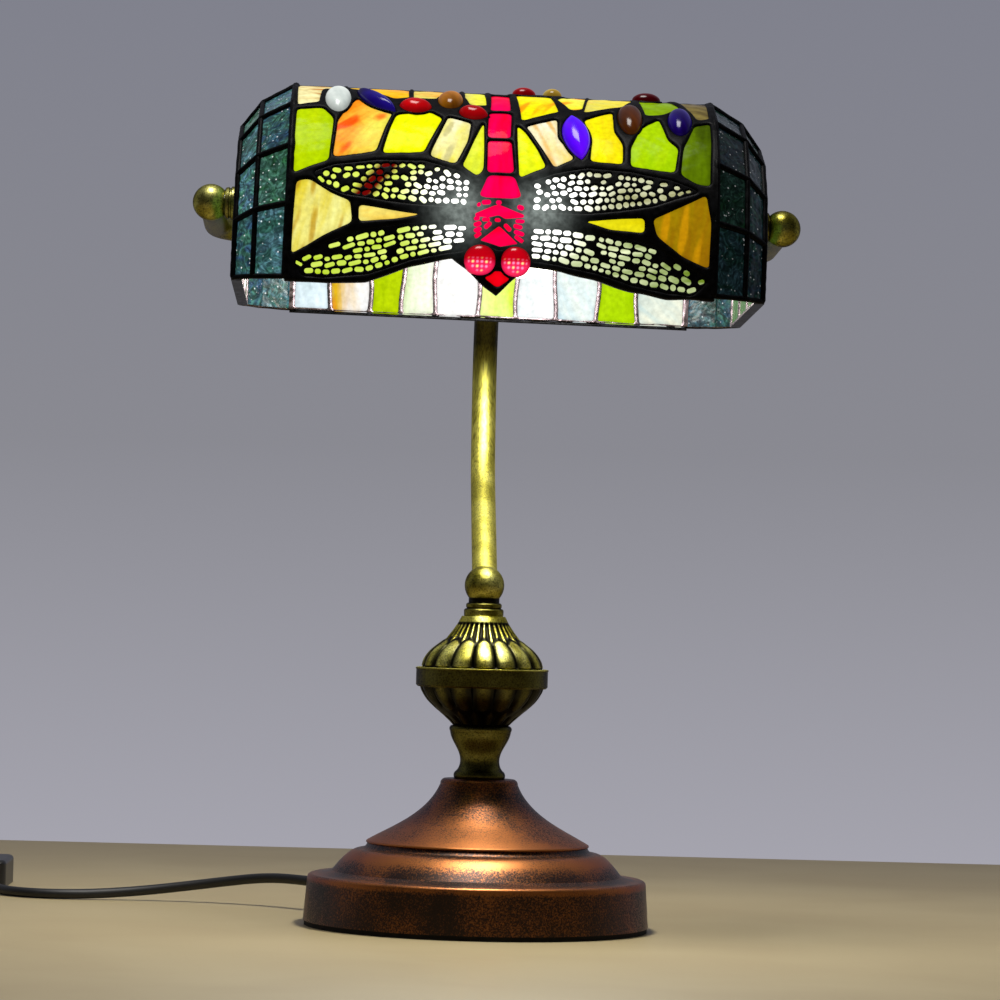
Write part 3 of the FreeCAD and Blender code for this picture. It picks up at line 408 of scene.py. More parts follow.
# ------ materials
class Shader:
    """A tree of shader nodes, a new material's own unless one is given, built and joined in few words."""

    def __init__(self, name, tree=None):
        if tree is None:
            self.material = bpy.data.materials.new(name)
            self.material.use_nodes = True
            tree = self.material.node_tree
        self.nodes, self.links = tree.nodes, tree.links

    def node(self, kind, **settings):
        n = self.nodes.new("ShaderNode" + kind)
        for key, value in settings.items():
            if key in n.inputs:
                n.inputs[key].default_value = value
            else:
                setattr(n, key, value)
        return n

    def put(self, **inputs):
        """Values or links for the surface's inputs, which are named with underscores for spaces."""
        for key, value in inputs.items():
            self.join(value, self.nodes["Principled BSDF"].inputs[key.replace("_", " ")])

    def join(self, value, socket):
        if hasattr(value, "is_output"):
            self.links.new(value, socket)
        elif hasattr(value, "__len__"):
            socket.default_value = (*value, 1)
        else:
            socket.default_value = value

    def place(self, axis=None, kind="Object"):
        """Where a point lies, or one coordinate of it."""
        at = self.node("TexCoord").outputs[kind]
        if axis is None:
            return at
        split = self.node("SeparateXYZ")
        self.links.new(at, split.inputs[0])
        return split.outputs[axis]

    def attribute(self, name, output="Fac"):
        return self.node("Attribute", attribute_name=name).outputs[output]

    def noise(self, scale, detail=3.0, distortion=0.0, vector=None, rough=0.5):
        n = self.node("TexNoise", Scale=scale, Detail=detail, Distortion=distortion, Roughness=rough)
        self.links.new(vector or self.place(), n.inputs["Vector"])
        return n.outputs["Fac"]

    def ramp(self, fac, *stops):
        n = self.node("ValToRGB")
        e = n.color_ramp.elements
        while len(e) < len(stops):
            e.new(0.5)
        for item, (at, colour) in zip(e, stops):
            item.position = at
            item.color = (*colour, 1) if hasattr(colour, "__len__") else (colour, colour, colour, 1)
        self.links.new(fac, n.inputs["Fac"])
        return n.outputs["Color"]

    def span(self, value, start, end, low=0.0, high=1.0, **settings):
        """The value carried from start..end to low..high."""
        n = self.node("MapRange", **settings)
        for key, bound in (("From Min", start), ("From Max", end), ("To Min", low), ("To Max", high)):
            n.inputs[key].default_value = bound
        self.links.new(value, n.inputs["Value"])
        return n.outputs[0]

    def mix(self, kind, fac, a, b):
        n = self.node("Mix", data_type="RGBA", blend_type=kind)
        self.join(fac, n.inputs[0])
        for key, value in ((6, a), (7, b)):
            self.join(value if hasattr(value, "is_output") or hasattr(value, "__len__") else (value,) * 3,
                      n.inputs[key])
        return n.outputs[2]

    def times(self, a, b, share=1.0):
        return self.mix("MULTIPLY", share, a, b)

    def bump(self, height, strength, distance):
        n = self.node("Bump", Strength=strength, Distance=distance)
        self.links.new(height, n.inputs["Height"])
        self.put(Normal=n.outputs["Normal"])


# Strength of the light that comes through the glass, and how much of its colour shows when it is off.
GLASS_GLOW, GLASS_SKIN = 1.12, 0.008


def lit_glass(name, streak=1.0, sparkle=0.0, fine=0.12, rough=0.2, edge=0.35, ripple=0.25, gloss=0.015):
    """Glass lit from inside: two colours that run through it in streaks, deepened at its edge by painted
    shade.
    """
    s = Shader(name)
    wide = s.noise(1.0, 4.0, 0.9, s.attribute("flow", "Vector"))
    blend = s.ramp(wide, (0.5 - 0.16 / streak, 0.0), (0.5 + 0.16 / streak, 1.0))
    colour = s.mix("MIX", blend, s.attribute("col_a", "Color"), s.attribute("col_b", "Color"))
    colour = s.times(colour, s.ramp(s.noise(420.0), (0.3, 1.0 - fine), (0.7, 1.0 + fine)))
    # Painted shade: the glass is darker towards the lead at its edge.
    colour = s.times(colour, s.span(s.attribute("edge"), 0.0, 1.0, 1.0, 1.0 - edge))
    # Painted glints: bright dots in patches, scaled by the glint attribute, over the glass's streaky waves.
    if sparkle:
        spots = s.node("TexVoronoi", Scale=430.0)
        s.links.new(s.place(), spots.inputs["Vector"])
        dots = s.ramp(spots.outputs["Distance"], (0.10, 1.0), (0.24, 0.0))
        patch = s.ramp(s.noise(300.0, 1.0), (0.50, 0.0), (0.58, 1.0))
        waves = s.ramp(s.noise(150.0, 3.0, 3.5), (0.36, 0.36), (0.52, 0.82), (0.64, 1.8))
        glint = s.times(s.times(dots, patch), s.attribute("glint"))
        colour = s.mix("ADD", sparkle, s.times(colour, waves), glint)
    s.put(Emission_Color=colour, Emission_Strength=GLASS_GLOW, Base_Color=s.times(colour, GLASS_SKIN),
          Roughness=rough, Specular_IOR_Level=gloss)
    s.bump(s.noise(160.0, 2.0), ripple, 0.0008)
    return s.material


def solder(name, dark):
    """Lead-free solder: black patina outside, bright tin inside."""
    s = Shader(name)
    lumps = s.noise(330.0)
    if dark:
        colour = s.ramp(lumps, (0.35, srgb(1, 1, 1.2)), (0.75, srgb(6, 6, 7)))
        rough = (0.34, 0.55)
        # Painted bloom: the bulb's light glowing over the black metal at the wings' roots.
        bloom = s.times(s.attribute("bloom"), srgb(90, 96, 93))
        bloom = s.times(bloom, s.ramp(lumps, (0.34, 0.6), (0.70, 1.35)))
        s.put(Specular_IOR_Level=0.05, Emission_Color=bloom, Emission_Strength=1.0)
    else:
        colour = s.ramp(lumps, (0.3, srgb(16, 13, 14)), (0.7, srgb(48, 43, 46)))
        rough = (0.22, 0.5)
        s.put(Metallic=0.85)
    s.put(Base_Color=colour, Roughness=s.span(lumps, 0.0, 1.0, *rough))
    s.bump(s.noise(210.0), 0.35, 0.0006)
    return s.material


OLIVE_TONES = [(48, 45, 12), (66, 63, 28), (77, 75, 42)]


def antique_brass(name, cloudy=1.0, brushed=False, hollows=False, painted_light_level=1.0, rings=()):
    """Olive antique brass under lacquer, rubbed bright on what stands out and darkened in the hollows by
    patina and painted shade; its tones are scaled by a painted light level, for lit or shaded copies.
    """
    s = Shader(name)
    cloud = s.noise(70.0, 5.0, 0.4)
    spread = 0.13 / cloudy
    # painted_light_level scales the tones: above 1 a painted lit copy, below 1 a painted shaded one.
    tones = [srgb(*v) * painted_light_level for v in OLIVE_TONES]
    colour = s.ramp(cloud, *zip((0.5 - spread, 0.5, 0.5 + spread), tones))
    if brushed:
        brush = s.node("Mapping", Scale=(1, 1, 0.07), Rotation=(0.12, 0.1, 0))
        s.links.new(s.place(), brush.inputs["Vector"])
        fine = s.noise(1400.0, 3.0, 0.3, brush.outputs[0])
    else:
        fine = s.noise(1300.0, 3.0, 0.0, rough=0.65)
    colour = s.times(colour, s.ramp(fine, (0.36, 0.30 if brushed else 0.12), (0.55, 1.1)), 0.8)
    if rings:
        low, high = rings[0][0], rings[-1][0]
        height = s.span(s.place("Z"), low * MM, high * MM)
        colour = s.times(colour, s.ramp(height, *[((z - low) / (high - low), v) for z, v in rings]))
    # Patina and painted shade darken the hollows.
    if hollows:
        colour = s.times(colour, s.ramp(s.attribute("hollow"), (0.1, 1.0), (0.5, 0.10), (0.8, 0.01)))
    rough = (0.42, 0.5) if brushed else (0.26, 0.44)
    s.put(Base_Color=colour, Metallic=1.0, Roughness=s.span(cloud, 0.0, 1.0, *rough),
          Specular_Tint=(0.10, 0.10, 0.03), Coat_Weight=0.25, Coat_Roughness=0.28)
    s.bump(fine, 0.15, 0.0003)
    return s.material


# How far the copper of the base is rubbed through, by height in millimetres.
RUBBED = [(0.0, 0.20), (4.0, 0.0), (12.0, 0.0), (21.0, 0.0), (23.6, 0.80), (24.9, 0.50), (25.7, 0.08),
          (29.0, 0.05), (32.0, 0.30), (34.6, 0.80), (37.2, 0.62), (38.4, 0.05), (40.8, 0.0), (41.5, 1.0),
          (43.0, 0.76), (47.0, 0.52), (53.0, 0.44), (59.0, 0.30), (66.0, 0.06), (73.2, 0.30), (76.0, 0.2)]


def copper_patina(name):
    """Copper under a black patina that is rubbed through on edges, in specks and in clouds."""
    s = Shader(name)
    specks = s.noise(1200.0, 4.0, 0.3, rough=0.75)
    top = RUBBED[-1][0]
    rubbed = s.ramp(s.span(s.place("Z"), 0.0, top * MM), *[(z / top, v) for z, v in RUBBED])
    grains = s.ramp(specks, (0.40, 0.0), (0.60, 0.75))
    drifts = s.ramp(s.noise(30.0, 4.0, 0.6), (0.34, 0.0), (0.66, 0.5))
    worn = s.mix("ADD", 1.0, s.mix("ADD", 1.0, grains, drifts), rubbed)
    worn = s.span(worn, 0.55, 1.42, interpolation_type="SMOOTHSTEP")
    s.put(Base_Color=s.mix("MIX", worn, srgb(15, 7, 3.5), srgb(70, 41, 16)), Metallic=0.95,
          Specular_Tint=(0.16, 0.06, 0.03), Coat_Weight=0.7, Coat_Roughness=0.36,
          Roughness=s.span(specks, 0.0, 1.0, 0.30, 0.42))
    s.bump(specks, 0.12, 0.0003)
    return s.material


def plain(name, colour, rough, metallic=0.0, grain=500.0, amount=0.12, emission=0.0):
    """Even surface with a fine mottle of colour and height."""
    s = Shader(name)
    fine = s.noise(grain)
    colour = srgb(*colour)
    tint = s.ramp(fine, (0.3, colour * (1 - amount)), (0.7, np.minimum(1, colour * (1 + amount))))
    s.put(Base_Color=tint, Roughness=rough, Metallic=metallic)
    if emission:
        s.put(Emission_Color=tint, Emission_Strength=emission)
    s.bump(fine, 0.1, 0.0003)
    return s.material


BLACK = solder("black_solder", True)
TIN = solder("tin_solder", False)
# Each glass's edge sets how much painted shade darkens it by the lead; sparkle adds painted glints.
GLASS = lit_glass("streaky_glass")
WING_GLASS = lit_glass("wing_glass", streak=1.6, fine=0.05, edge=0.0, rough=0.1)
RED_GLASS = lit_glass("red_glass", streak=0.7, fine=0.05, edge=0.5, rough=0.1)
GEM_GLASS = lit_glass("gem_glass", streak=0.8, fine=0.05, edge=0.6, rough=0.16, ripple=0.05, gloss=0.2)
TILE_GLASS = lit_glass("hammered_glass", streak=1.3, sparkle=0.7, fine=0.3, edge=0.2, rough=0.14, ripple=0.8,
                       gloss=0.3)
# Brightness of brass by height in millimetres: the collar's dark grooves and neck, painted shade on the band
# with a painted highlight on its lip, and painted shadow of the shade on the stem's top and the yoke.
COLLAR_RINGS = [(155.0, 0.5), (155.8, 1.0), (157.9, 1.0), (158.9, 0.10), (159.8, 1.0), (160.9, 1.0),
                (161.6, 0.08), (163.6, 0.03), (165.0, 0.3)]
BAND_RINGS = [(119.0, 0.36), (128.2, 0.36), (128.8, 1.5), (129.4, 1.5)]
STEM_RINGS = [(160.0, 1.0), (280.0, 1.0), (297.0, 0.12), (306.0, 0.12), (330.0, 0.6), (420.0, 0.6)]
# Painted light: the stem and the urn's dome are lit copies of the brass; vase, cup and nuts shaded copies.
BRASS = antique_brass("antique_brass")
COLLAR_BRASS = antique_brass("collar_brass", rings=COLLAR_RINGS)
SHADED_BRASS = antique_brass("shaded_brass", cloudy=0.5, painted_light_level=0.36)
BAND_BRASS = antique_brass("band_brass", cloudy=0.5, rings=BAND_RINGS)
NUT_BRASS = antique_brass("nut_brass", painted_light_level=0.5)
STEM_BRASS = antique_brass("brushed_brass", cloudy=0.35, brushed=True, painted_light_level=1.3, rings=STEM_RINGS)
CAST_BRASS = antique_brass("cast_brass", hollows=True, painted_light_level=1.8)
SHADED_CAST_BRASS = antique_brass("shaded_cast_brass", hollows=True, painted_light_level=0.36)
COPPER = copper_patina("copper_patina")
CORD_PVC = plain("cord_pvc_black", (3.5, 3.5, 4.5), 0.5, grain=900, amount=0.2)


# ------ front panel
# Colours in the tables of looks are display values in percent.
GREEN, YELLOW, GOLD, ORANGE = (76, 86, 0), (97, 98, 0), (95, 86, 5), (99, 56, 2)
CREAM, STRAW = (99, 97, 72), (88, 85, 40)
PINK, RED, CRIMSON = (99, 0, 40), (97, 0, 10), (62, 0, 3)

# Two colours, then if need be the streaks' direction in degrees, the way from the first colour to the second
# as (x, girth), and a colour that shows in a few streaks, for each pane.
LOOKS = {
    "glass_green": [
        (GREEN, (66, 80, 0), 90, (0.3, -0.2)),
        ((60, 79, 0), (70, 84, 2), 80),
        ((40, 52, 1), (22, 29, 1), 90, (0.7, 0.3)),
        ((55, 72, 0), (45, 55, 2), 20, (0.5, 0))],
    "glass_yellow": [
        (YELLOW, (93, 96, 0)),
        (YELLOW, (84, 90, 25), 75, (0, -0.3)),
        (YELLOW, (86, 92, 12), 110, (0, -0.4)),
        (YELLOW, (94, 80, 8), 95, (0.5, 0.2)),
        (GOLD, ORANGE, 10, (0.3, 0.4)),
        (STRAW, ORANGE, 10, (0.6, 0.2)),
        (STRAW, YELLOW, 90, (0.6, 0)),
        (YELLOW, GOLD, 70, (0.5, 0.4), ORANGE),
        (YELLOW, (93, 88, 40), 30, (0, 0.4), ORANGE),
        (STRAW, GOLD, 160, (0.4, 0.3), (98, 80, 35))],
    "glass_opal": [
        ((99, 52, 0), (94, 92, 34), 58, (0.9, -0.5), (99, 24, 0)),
        ((93, 88, 12), (99, 97, 80), 75, (-0.1, 0.7), (78, 75, 50)),
        ((99, 98, 88), (95, 84, 40), 110, (0.6, -0.4), (93, 72, 34)),
        ((80, 62, 28), CREAM, 3, (-0.3, -0.6), (75, 45, 15)),
        ((52, 46, 24), (30, 25, 15), 150, (0.6, 0.5), (66, 64, 42))],
    "glass_amber": [
        ((86, 78, 14), (95, 95, 62), 78, (0.3, -0.2), (74, 58, 8)),
        ((94, 91, 50), (95, 74, 16), 6, (0.8, 0)),
        ((60, 50, 2), (56, 38, 2), 84, (0.5, -0.5), (76, 54, 3)),
        ((93, 90, 10), (84, 78, 2), 5, (0.6, 0))],
    "glass_red": [
        (RED, CRIMSON, 90, (0, 0.6)), (PINK, RED, 90, (0, 0.5)), (PINK, RED),
        (PINK, RED), (PINK, RED, 85), (PINK, RED, 20),
        (RED, (85, 0, 0))],
}


def wing_outline(upper, lower):
    """A wing's outline, up its upper edge and back along its lower one."""
    return list(upper) + list(reversed(lower[:-1]))


def streaky(qx, qy, seed, first, second, turn=90, drift=(0, 0), vein=None, bright=1.0):
    """Two tones for every point of a pane: its colours run into each other along streaks."""
    first, second = srgb(*first) * bright, srgb(*second) * bright
    t = math.radians(turn)
    along = qx * math.cos(t) + qy * math.sin(t)
    across = qy * math.cos(t) - qx * math.sin(t)
    u = 2 * (qx - qx.min()) / np.ptp(qx) - 1
    w = 2 * (qy - qy.min()) / np.ptp(qy) - 1
    run = 0.75 * wobble(across, along * 0.2, 5.0, seed) + 0.25 * wobble(across, along * 0.2, 1.8, seed + 1)
    at = 0.5 + 0.5 * (drift[0] * u + drift[1] * w) + 0.28 * run
    tones = []
    for shift in (-0.13, 0.13):
        k = np.clip(at + shift, 0, 1)[:, None]
        tone = first * (1 - k) + second * k
        if vein:
            veins = wobble(across, along * 0.25, 4.6, seed + 2) - 0.30 - 0.6 * np.clip(at - 0.5, 0, 1) + shift
            v = np.clip(veins / 0.5, 0, 0.85)[:, None]
            tone = tone * (1 - v) + srgb(*vein) * v
        tones.append(tone)
    return tones, np.stack([across * 0.22, along * 0.05, np.full(qx.shape, seed * 3.7)], -1)


def lead_shade_blend(depth, width=3.0):
    """How much painted shade darkens a pane by the lead, from 1 at the lead to 0 at width from it."""
    return np.clip(1 - depth / width, 0, 1) ** 2


def pane_field(shape, step, margin, spread, distance=polygon_distance):
    """Grid over a shape and the distances there, with the glass reaching past the shape by spread."""
    x, y = grid(box_of(shape), step, margin)
    return x, y, distance(*warped(x, y), shape) + spread


def add_pane(piece, x, y, field, look, seed, lift=0.0, thick=GLASS_T, place=on_shade, flip=False,
             tint=None, dome=0.0, ripple=0.12):
    """One pane: a closed, slightly pillowed and rippled plate with its colours, or a domed one."""
    depth = reader(x, y, field)

    def top(qx, qy):
        d = np.maximum(depth(qx, qy), 0)
        if dome:
            return lift + bead(d, field.max(), dome)
        return lift + (0.35 * (1 - np.exp(-d / 2.5)) + ripple * wobble(qx, qy, 5, seed) * np.clip(d, 0, 1))

    def under(qx, qy):
        return lift - thick + 0.1 * wobble(qx, qy, 6, seed + 1)

    points, faces, _, qx, qy = plate(x, y, field, top, under, place, flip)
    (first, second), flow = streaky(qx, qy, seed, *look)
    if tint:
        first, second = tint(qx, qy, first), tint(qx, qy, second)
    piece.add(points, faces, col_a=first, col_b=second, flow=flow, edge=lead_shade_blend(depth(qx, qy)))


def clear_of_gems(x, y):
    """Distance from the lead round the nearest gem, negative inside it."""
    return -union(x, y, OVALS, oval_distance, 6.0) - GEM_LEAD


def front_glass():
    """The front's cut panes."""
    seed = 10
    for name, outlines in PANES.items():
        piece = Piece()
        for outline, look in zip(outlines, LOOKS[name]):
            seed += 1
            x, y, field = pane_field(rounded(outline, PANE_CORNER), 0.8, 1.6, 0.9)
            add_pane(piece, x, y, np.minimum(field, clear_of_gems(x, y) + 0.9), look, seed)
        material = RED_GLASS if name == "glass_red" else GLASS
        piece.make(name + "_panes", [material], name, name)


# Body and vein colours of each cut gem.
GEM_LOOKS = {
    "gems_red": [((86, 4, 6), (45, 0, 3)), ((80, 5, 5), (50, 0, 3)),
                 ((80, 5, 5), (40, 0, 3)), ((40, 3, 5), (20, 0, 2))],
    "gems_amber": [((74, 46, 6), (34, 18, 2)), ((86, 80, 40), (60, 45, 10)),
                   ((7, 3, 1), (34, 16, 3))],
    "gems_blue": [((6, 2, 24), (12, 6, 50)), ((26, 0, 95), (42, 5, 99)),
                  ((12, 2, 46), (5, 0, 20))],
    "gem_white": [((93, 95, 92), (74, 78, 76))],
    "dragonfly_eyes": [((90, 0, 10), (70, 0, 6))] * 2,
}
GEM_SLOTS = {"gems_red": "gem_red", "gems_amber": "gem_amber", "gems_blue": "gem_blue",
             "gem_white": "gem_white", "dragonfly_eyes": "gem_red"}


def eye_dots(cx, cy, radius):
    """Tint of an eye: deep red above and painted lighter below, with painted pink and straw reflections in
    spots in its lower half.
    """
    def tint(qx, qy, tone):
        u, w = (qx - cx) / radius, (qy - cy) / radius
        tone = tone * (0.75 + 0.35 * np.clip(0.4 - w, 0, 1))[:, None]
        cell_u, cell_w = (u / 0.32) % 1 - 0.5, (w / 0.32) % 1 - 0.5
        dot = np.clip(1.6 - np.hypot(cell_u, cell_w) / 0.24, 0, 1) * np.clip((0.16 - w) / 0.15, 0, 1)
        dot = (dot * np.clip((0.86 - np.hypot(u, w)) / 0.1, 0, 1))[:, None]
        straw = (np.floor(u / 0.32) + np.floor(w / 0.32)) % 3 == 0
        tone = tone + np.clip(0.1 - w, 0, 0.5)[:, None] * np.array(srgb(100, 20, 50))
        light = np.where(straw[:, None], srgb(100, 95, 62), srgb(100, 62, 80))
        return tone * (1 - 0.9 * dot) + light * dot
    return tint

def front_gems():
    """Cut gems and the dragonfly's eyes, domed and glossy."""
    for name, gems in GEMS.items():
        eyes = name == "dragonfly_eyes"
        piece = Piece()
        for i, (gem, colours) in enumerate(zip(gems, GEM_LOOKS[name])):
            x, y, field = pane_field(gem, 0.4, 1.2, 0.5, oval_distance)
            add_pane(piece, x, y, field, (*colours, gem[4] + 20, (0.2, -0.5)), 90 + i, lift=0.2, thick=2.0,
                     dome=4.2 if eyes else 4.6, tint=eye_dots(*gem[:3]) if eyes else None)
        piece.make(name + "_domes", [GEM_GLASS], name, GEM_SLOTS[name])


def painted_bulb_glow(x, g):
    """How strongly the painted glow of the bulb behind the wings' roots shows, from 0 to 1."""
    side = np.abs(x) - 14
    above, below = np.hypot(side / 27, (g - 46) / 13), np.hypot(side / 22, (g - 28) / 13)
    return np.clip(np.exp(-above ** 4) + np.exp(-below ** 4), 0, 1)


def painted_root_bloom(x, g):
    """Faint painted bloom of the bulb's light over the metal at the wings' roots."""
    return 0.28 * np.exp(-np.hypot((np.abs(x + 1) - 18) / 12, (g - 37) / 12) ** 2)


def front_leading():
    """The front's solder network, black outside and tin inside."""
    x, y = grid((-X_FRONT, X_FRONT, -4, HALF), 0.55)
    flat = [rounded(o, PANE_CORNER) for outlines in PANES.values() for o in outlines]
    flat += [rounded(wing_outline(*w), WING_CORNER) for w in WINGS]
    openings = np.minimum(union(x, y, flat, polygon_distance), clear_of_gems(x, y))
    windows = np.maximum(openings, union(x, y, OVALS, oval_distance))
    rim = FRONT_RIM + [(140, -1.5), (140, 200), (-140, 200), (-140, -1)]
    below = polygon_distance(x, y + 0.4 * wobble(x, y, 9, 3), rim)
    sheet = np.minimum(np.minimum(X_FRONT + 0.4 - np.abs(x), HALF - y), below)
    piece = Piece()
    add_solder(piece, x, y, np.minimum(sheet, -windows), np.minimum(below, -windows), (0.15, 1.9, 1.15),
               (GLASS_T + 0.1, 1.9, 1.0), (0.12, 6, 8), bloom=painted_root_bloom)
    piece.make("front_solder", [BLACK, TIN], "front_leading", "leading")


# ------ wings
def wing_cells(upper, lower, seed, row, lengths, jitter):
    """Bean-shaped cells in rows that follow the wing: (x, girth, half length, half width, turn)."""
    rng = random.Random(seed)
    side = 1 if upper[-1][0] > 0 else -1
    (xu, gu), (xl, gl) = (zip(*sorted((abs(x), g) for x, g in edge)) for edge in (upper, lower))

    def level(s, at):
        """Girth at a distance s from the body, from the wing's lower edge at 0 to its upper edge at 1."""
        low = float(np.interp(s, xl, gl)) + 0.7
        return low + at * (float(np.interp(s, xu, gu)) - 0.7 - low)

    start, end = xu[0] + 0.6, xu[-1] - 1.0
    cells = []
    for k in range(12):
        s = start + rng.uniform(0, 1.5)
        while s < end:
            length = rng.uniform(*lengths)
            mid = s + length / 2
            height = level(mid, 1) - level(mid, 0)
            rows = max(1, round(height / row))
            pitch = height / rows
            if k < rows and mid < end and rng.random() > 0.05 and pitch > 2.1:
                at = (k + 0.5) / rows
                g = level(mid, at) + rng.uniform(-1, 1) * jitter * 0.3
                turn = math.atan2(level(mid + 2, at) - level(mid, at), 2)
                turn += rng.uniform(-1, 1) * jitter
                half = (pitch - 0.85) / 2 * rng.uniform(0.86, 1.05)
                cell = (side * mid, g, max((length - 0.8) / 2, half), half, side * turn)
                if all(far_apart(cell, other) for other in cells):
                    cells.append(cell)
            s += length
    return cells


def far_apart(one, other):
    """Whether metal is left between two cells, taken as bars with round ends."""
    rows = []
    for x, g, length, half, turn in (one, other):
        reach = length - half
        rows.append([(x + reach * k * math.cos(turn), g + reach * k * math.sin(turn)) for k in (-1, 0, 1)])
    gap = min(math.dist(p, q) for p in rows[0] for q in rows[1])
    return gap > one[3] + other[3] + 0.35


# For each wing: the height of its rows of cells, how short and long they are, how unruly, and two tones.
WING_LOOKS = [
    (3.4, (2.9, 5.2), 0.75, (78, 87, 22), (93, 97, 50)),
    (3.15, (3.2, 7.2), 0.16, (70, 82, 12), (90, 96, 50)),
    (3.4, (2.8, 5.0), 0.65, (58, 58, 36), (97, 98, 86)),
    (3.15, (3.0, 6.6), 0.2, (42, 52, 14), (93, 96, 78)),
]


def wings():
    """Clear wing glass under a black metal filigree."""
    glass, lace = Piece(), Piece()
    for i, ((upper, lower), (row, lengths, jitter, *tones)) in enumerate(zip(WINGS, WING_LOOKS)):
        shape = rounded(wing_outline(upper, lower), WING_CORNER)
        inward = -0.9 if i > 1 else 0.6
        add_pane(glass, *pane_field(shape, 0.8, 1.6, 0.9), (*tones, 10, (inward, 0)), 60 + i, lift=-0.3,
                 tint=wing_tint if i else first_wing_tint)
        x, y, outline = pane_field(shape, 0.36, 1.2, 0.7)
        cells = wing_cells(upper, lower, 70 + i, row, lengths, jitter)
        add_lace(lace, x, y, np.minimum(outline, -union(x, y, cells, bean_distance, 2.0)))
    add_thorax(lace)
    glass.make("wing_panes", [WING_GLASS], "wing_glass", "glass_wing")
    lace.make("wing_filigree", [BLACK], "wing_lace", "leading")


def wing_tint(qx, qy, tone):
    """Painted glow: white near the body, where the bulb is close behind."""
    k = painted_bulb_glow(qx, qy)[:, None]
    return tone * (1 - k) + np.array([2.2, 2.2, 2.1]) * k


def first_wing_tint(qx, qy, tone):
    """The same, with a dark red vein across the upper left wing."""
    band = np.clip(1.6 - np.abs(qx + 60.5 - 0.75 * (qy - 50)) / 4.5, 0, 1)[:, None]
    return wing_tint(qx, qy, tone) * (1 - band) + srgb(42, 3, 2) * band


def add_lace(piece, x, y, field):
    """Filigree that lies on the glass."""
    add_solder(piece, x, y, field, field, (0.35, 0.7, 0.6), (0.1, 1.0, 0.0), (0.05, 4, 2), bloom=painted_root_bloom)


def add_thorax(piece):
    """Filigree over the dragonfly's body: a chevron, a kite and small cells at the sides."""
    openings = [
        [(-13, 35.2), (-3.2, 39.3), (-1.2, 39.4), (10.2, 35.6), (9.9, 34.2), (1.3, 33.2), (-1.7, 34.8),
         (-6.2, 33.5), (-12.7, 33.8)],
        [(-1.4, 29.5), (-10.2, 22.2), (-0.8, 19.5), (7.9, 21.5)],
    ]
    beans = [(-11.2, 39.3, 1.1, 0.9, 0.8), (-7.6, 40.5, 2.3, 1.2, 0.1), (-1.8, 40.6, 1.3, 1.2, 0),
             (8.2, 38.9, 1.7, 1.2, -0.3), (-12, 32.9, 1.5, 1.0, 0.1), (-7.6, 32.5, 1.9, 1.0, 0.1),
             (-2.1, 32.4, 1.4, 0.9, 0), (8.3, 32.4, 2.2, 1.0, 0), (-11.6, 30.2, 2.0, 1.2, 0.3),
             (-11.5, 27.4, 2.0, 1.2, 0.4), (-11.4, 24.8, 2.0, 1.1, 0.7), (-6.7, 29.7, 2.2, 1.1, 0.8),
             (7.5, 29.7, 2.2, 1.1, -0.2), (8.2, 26.7, 2.6, 1.1, -0.3), (8.4, 23.8, 2.6, 1.0, -0.6),
             (2.6, 29.0, 2.2, 1.1, -0.8)]
    x, y = grid((-16, 13, 16, 44), 0.3)
    holes = np.maximum(union(x, y, [rounded(o, 0.8) for o in openings], polygon_distance, 2.0),
                       union(x, y, beans, bean_distance, 2.0))
    body = [(-15, 43), (12, 43), (12.5, 23), (9, 18), (-1, 16.8), (-12, 18.5), (-15, 25)]
    add_lace(piece, x, y, np.minimum(polygon_distance(x, y, rounded(body, 1.5)), -holes))


# ------ back panel
# Looks of the ten strips from left to right as seen from the front, as in LOOKS.
BACK_LOOKS = [
    ((70, 78, 79), (90, 96, 99), 80, (0.3, 0.5)),
    ((84, 67, 10), (95, 95, 95), 85, (1.2, 0.1), (86, 56, 10)),
    ((62, 74, 0), (74, 84, 2), 90, (0.5, 0)),
    ((82, 90, 66), (98, 98, 94), 90, (0.6, 0.2)),
    ((93, 93, 92), (100, 100, 99), 88, (0.4, 0)),
    ((82, 94, 20), (93, 99, 62), 90, (-0.7, 0.3)),
    ((86, 90, 90), (99, 99, 99), 70, (0.3, 0.3)),
    ((78, 87, 90), (97, 97, 90), 60, (0.3, -0.5)),
    ((60, 77, 0), (70, 85, 4), 90, (0.2, 0)),
    ((70, 80, 80), (93, 93, 84), 40, (0.5, 0.4))]


def back_outlines():
    """(outline, column, row) of each strip on the back."""
    out = []
    for r, (low, high) in enumerate(zip(BACK_ROWS, BACK_ROWS[1:])):
        for c, (x0, x1) in enumerate(zip(BACK_SEAMS, BACK_SEAMS[1:])):
            g0, g1 = 2 * HALF - high + SEAM / 2, 2 * HALF - low - SEAM / 2
            steps = [g0 + (g1 - g0) * k / 8 for k in range(9)]
            right = [(x1 - SEAM / 2 + sway(c + 1, g), g) for g in steps]
            left = [(x0 + SEAM / 2 + sway(c, g), g) for g in reversed(steps)]
            out.append((right + left, c, r))
    return out


def sway(seam, g):
    """How far a back seam, cut by hand, wanders sideways at that girth."""
    return 0.0 if seam in (0, len(BACK_SEAMS) - 1) else 0.7 * math.sin(0.17 * g + 2.3 * seam)


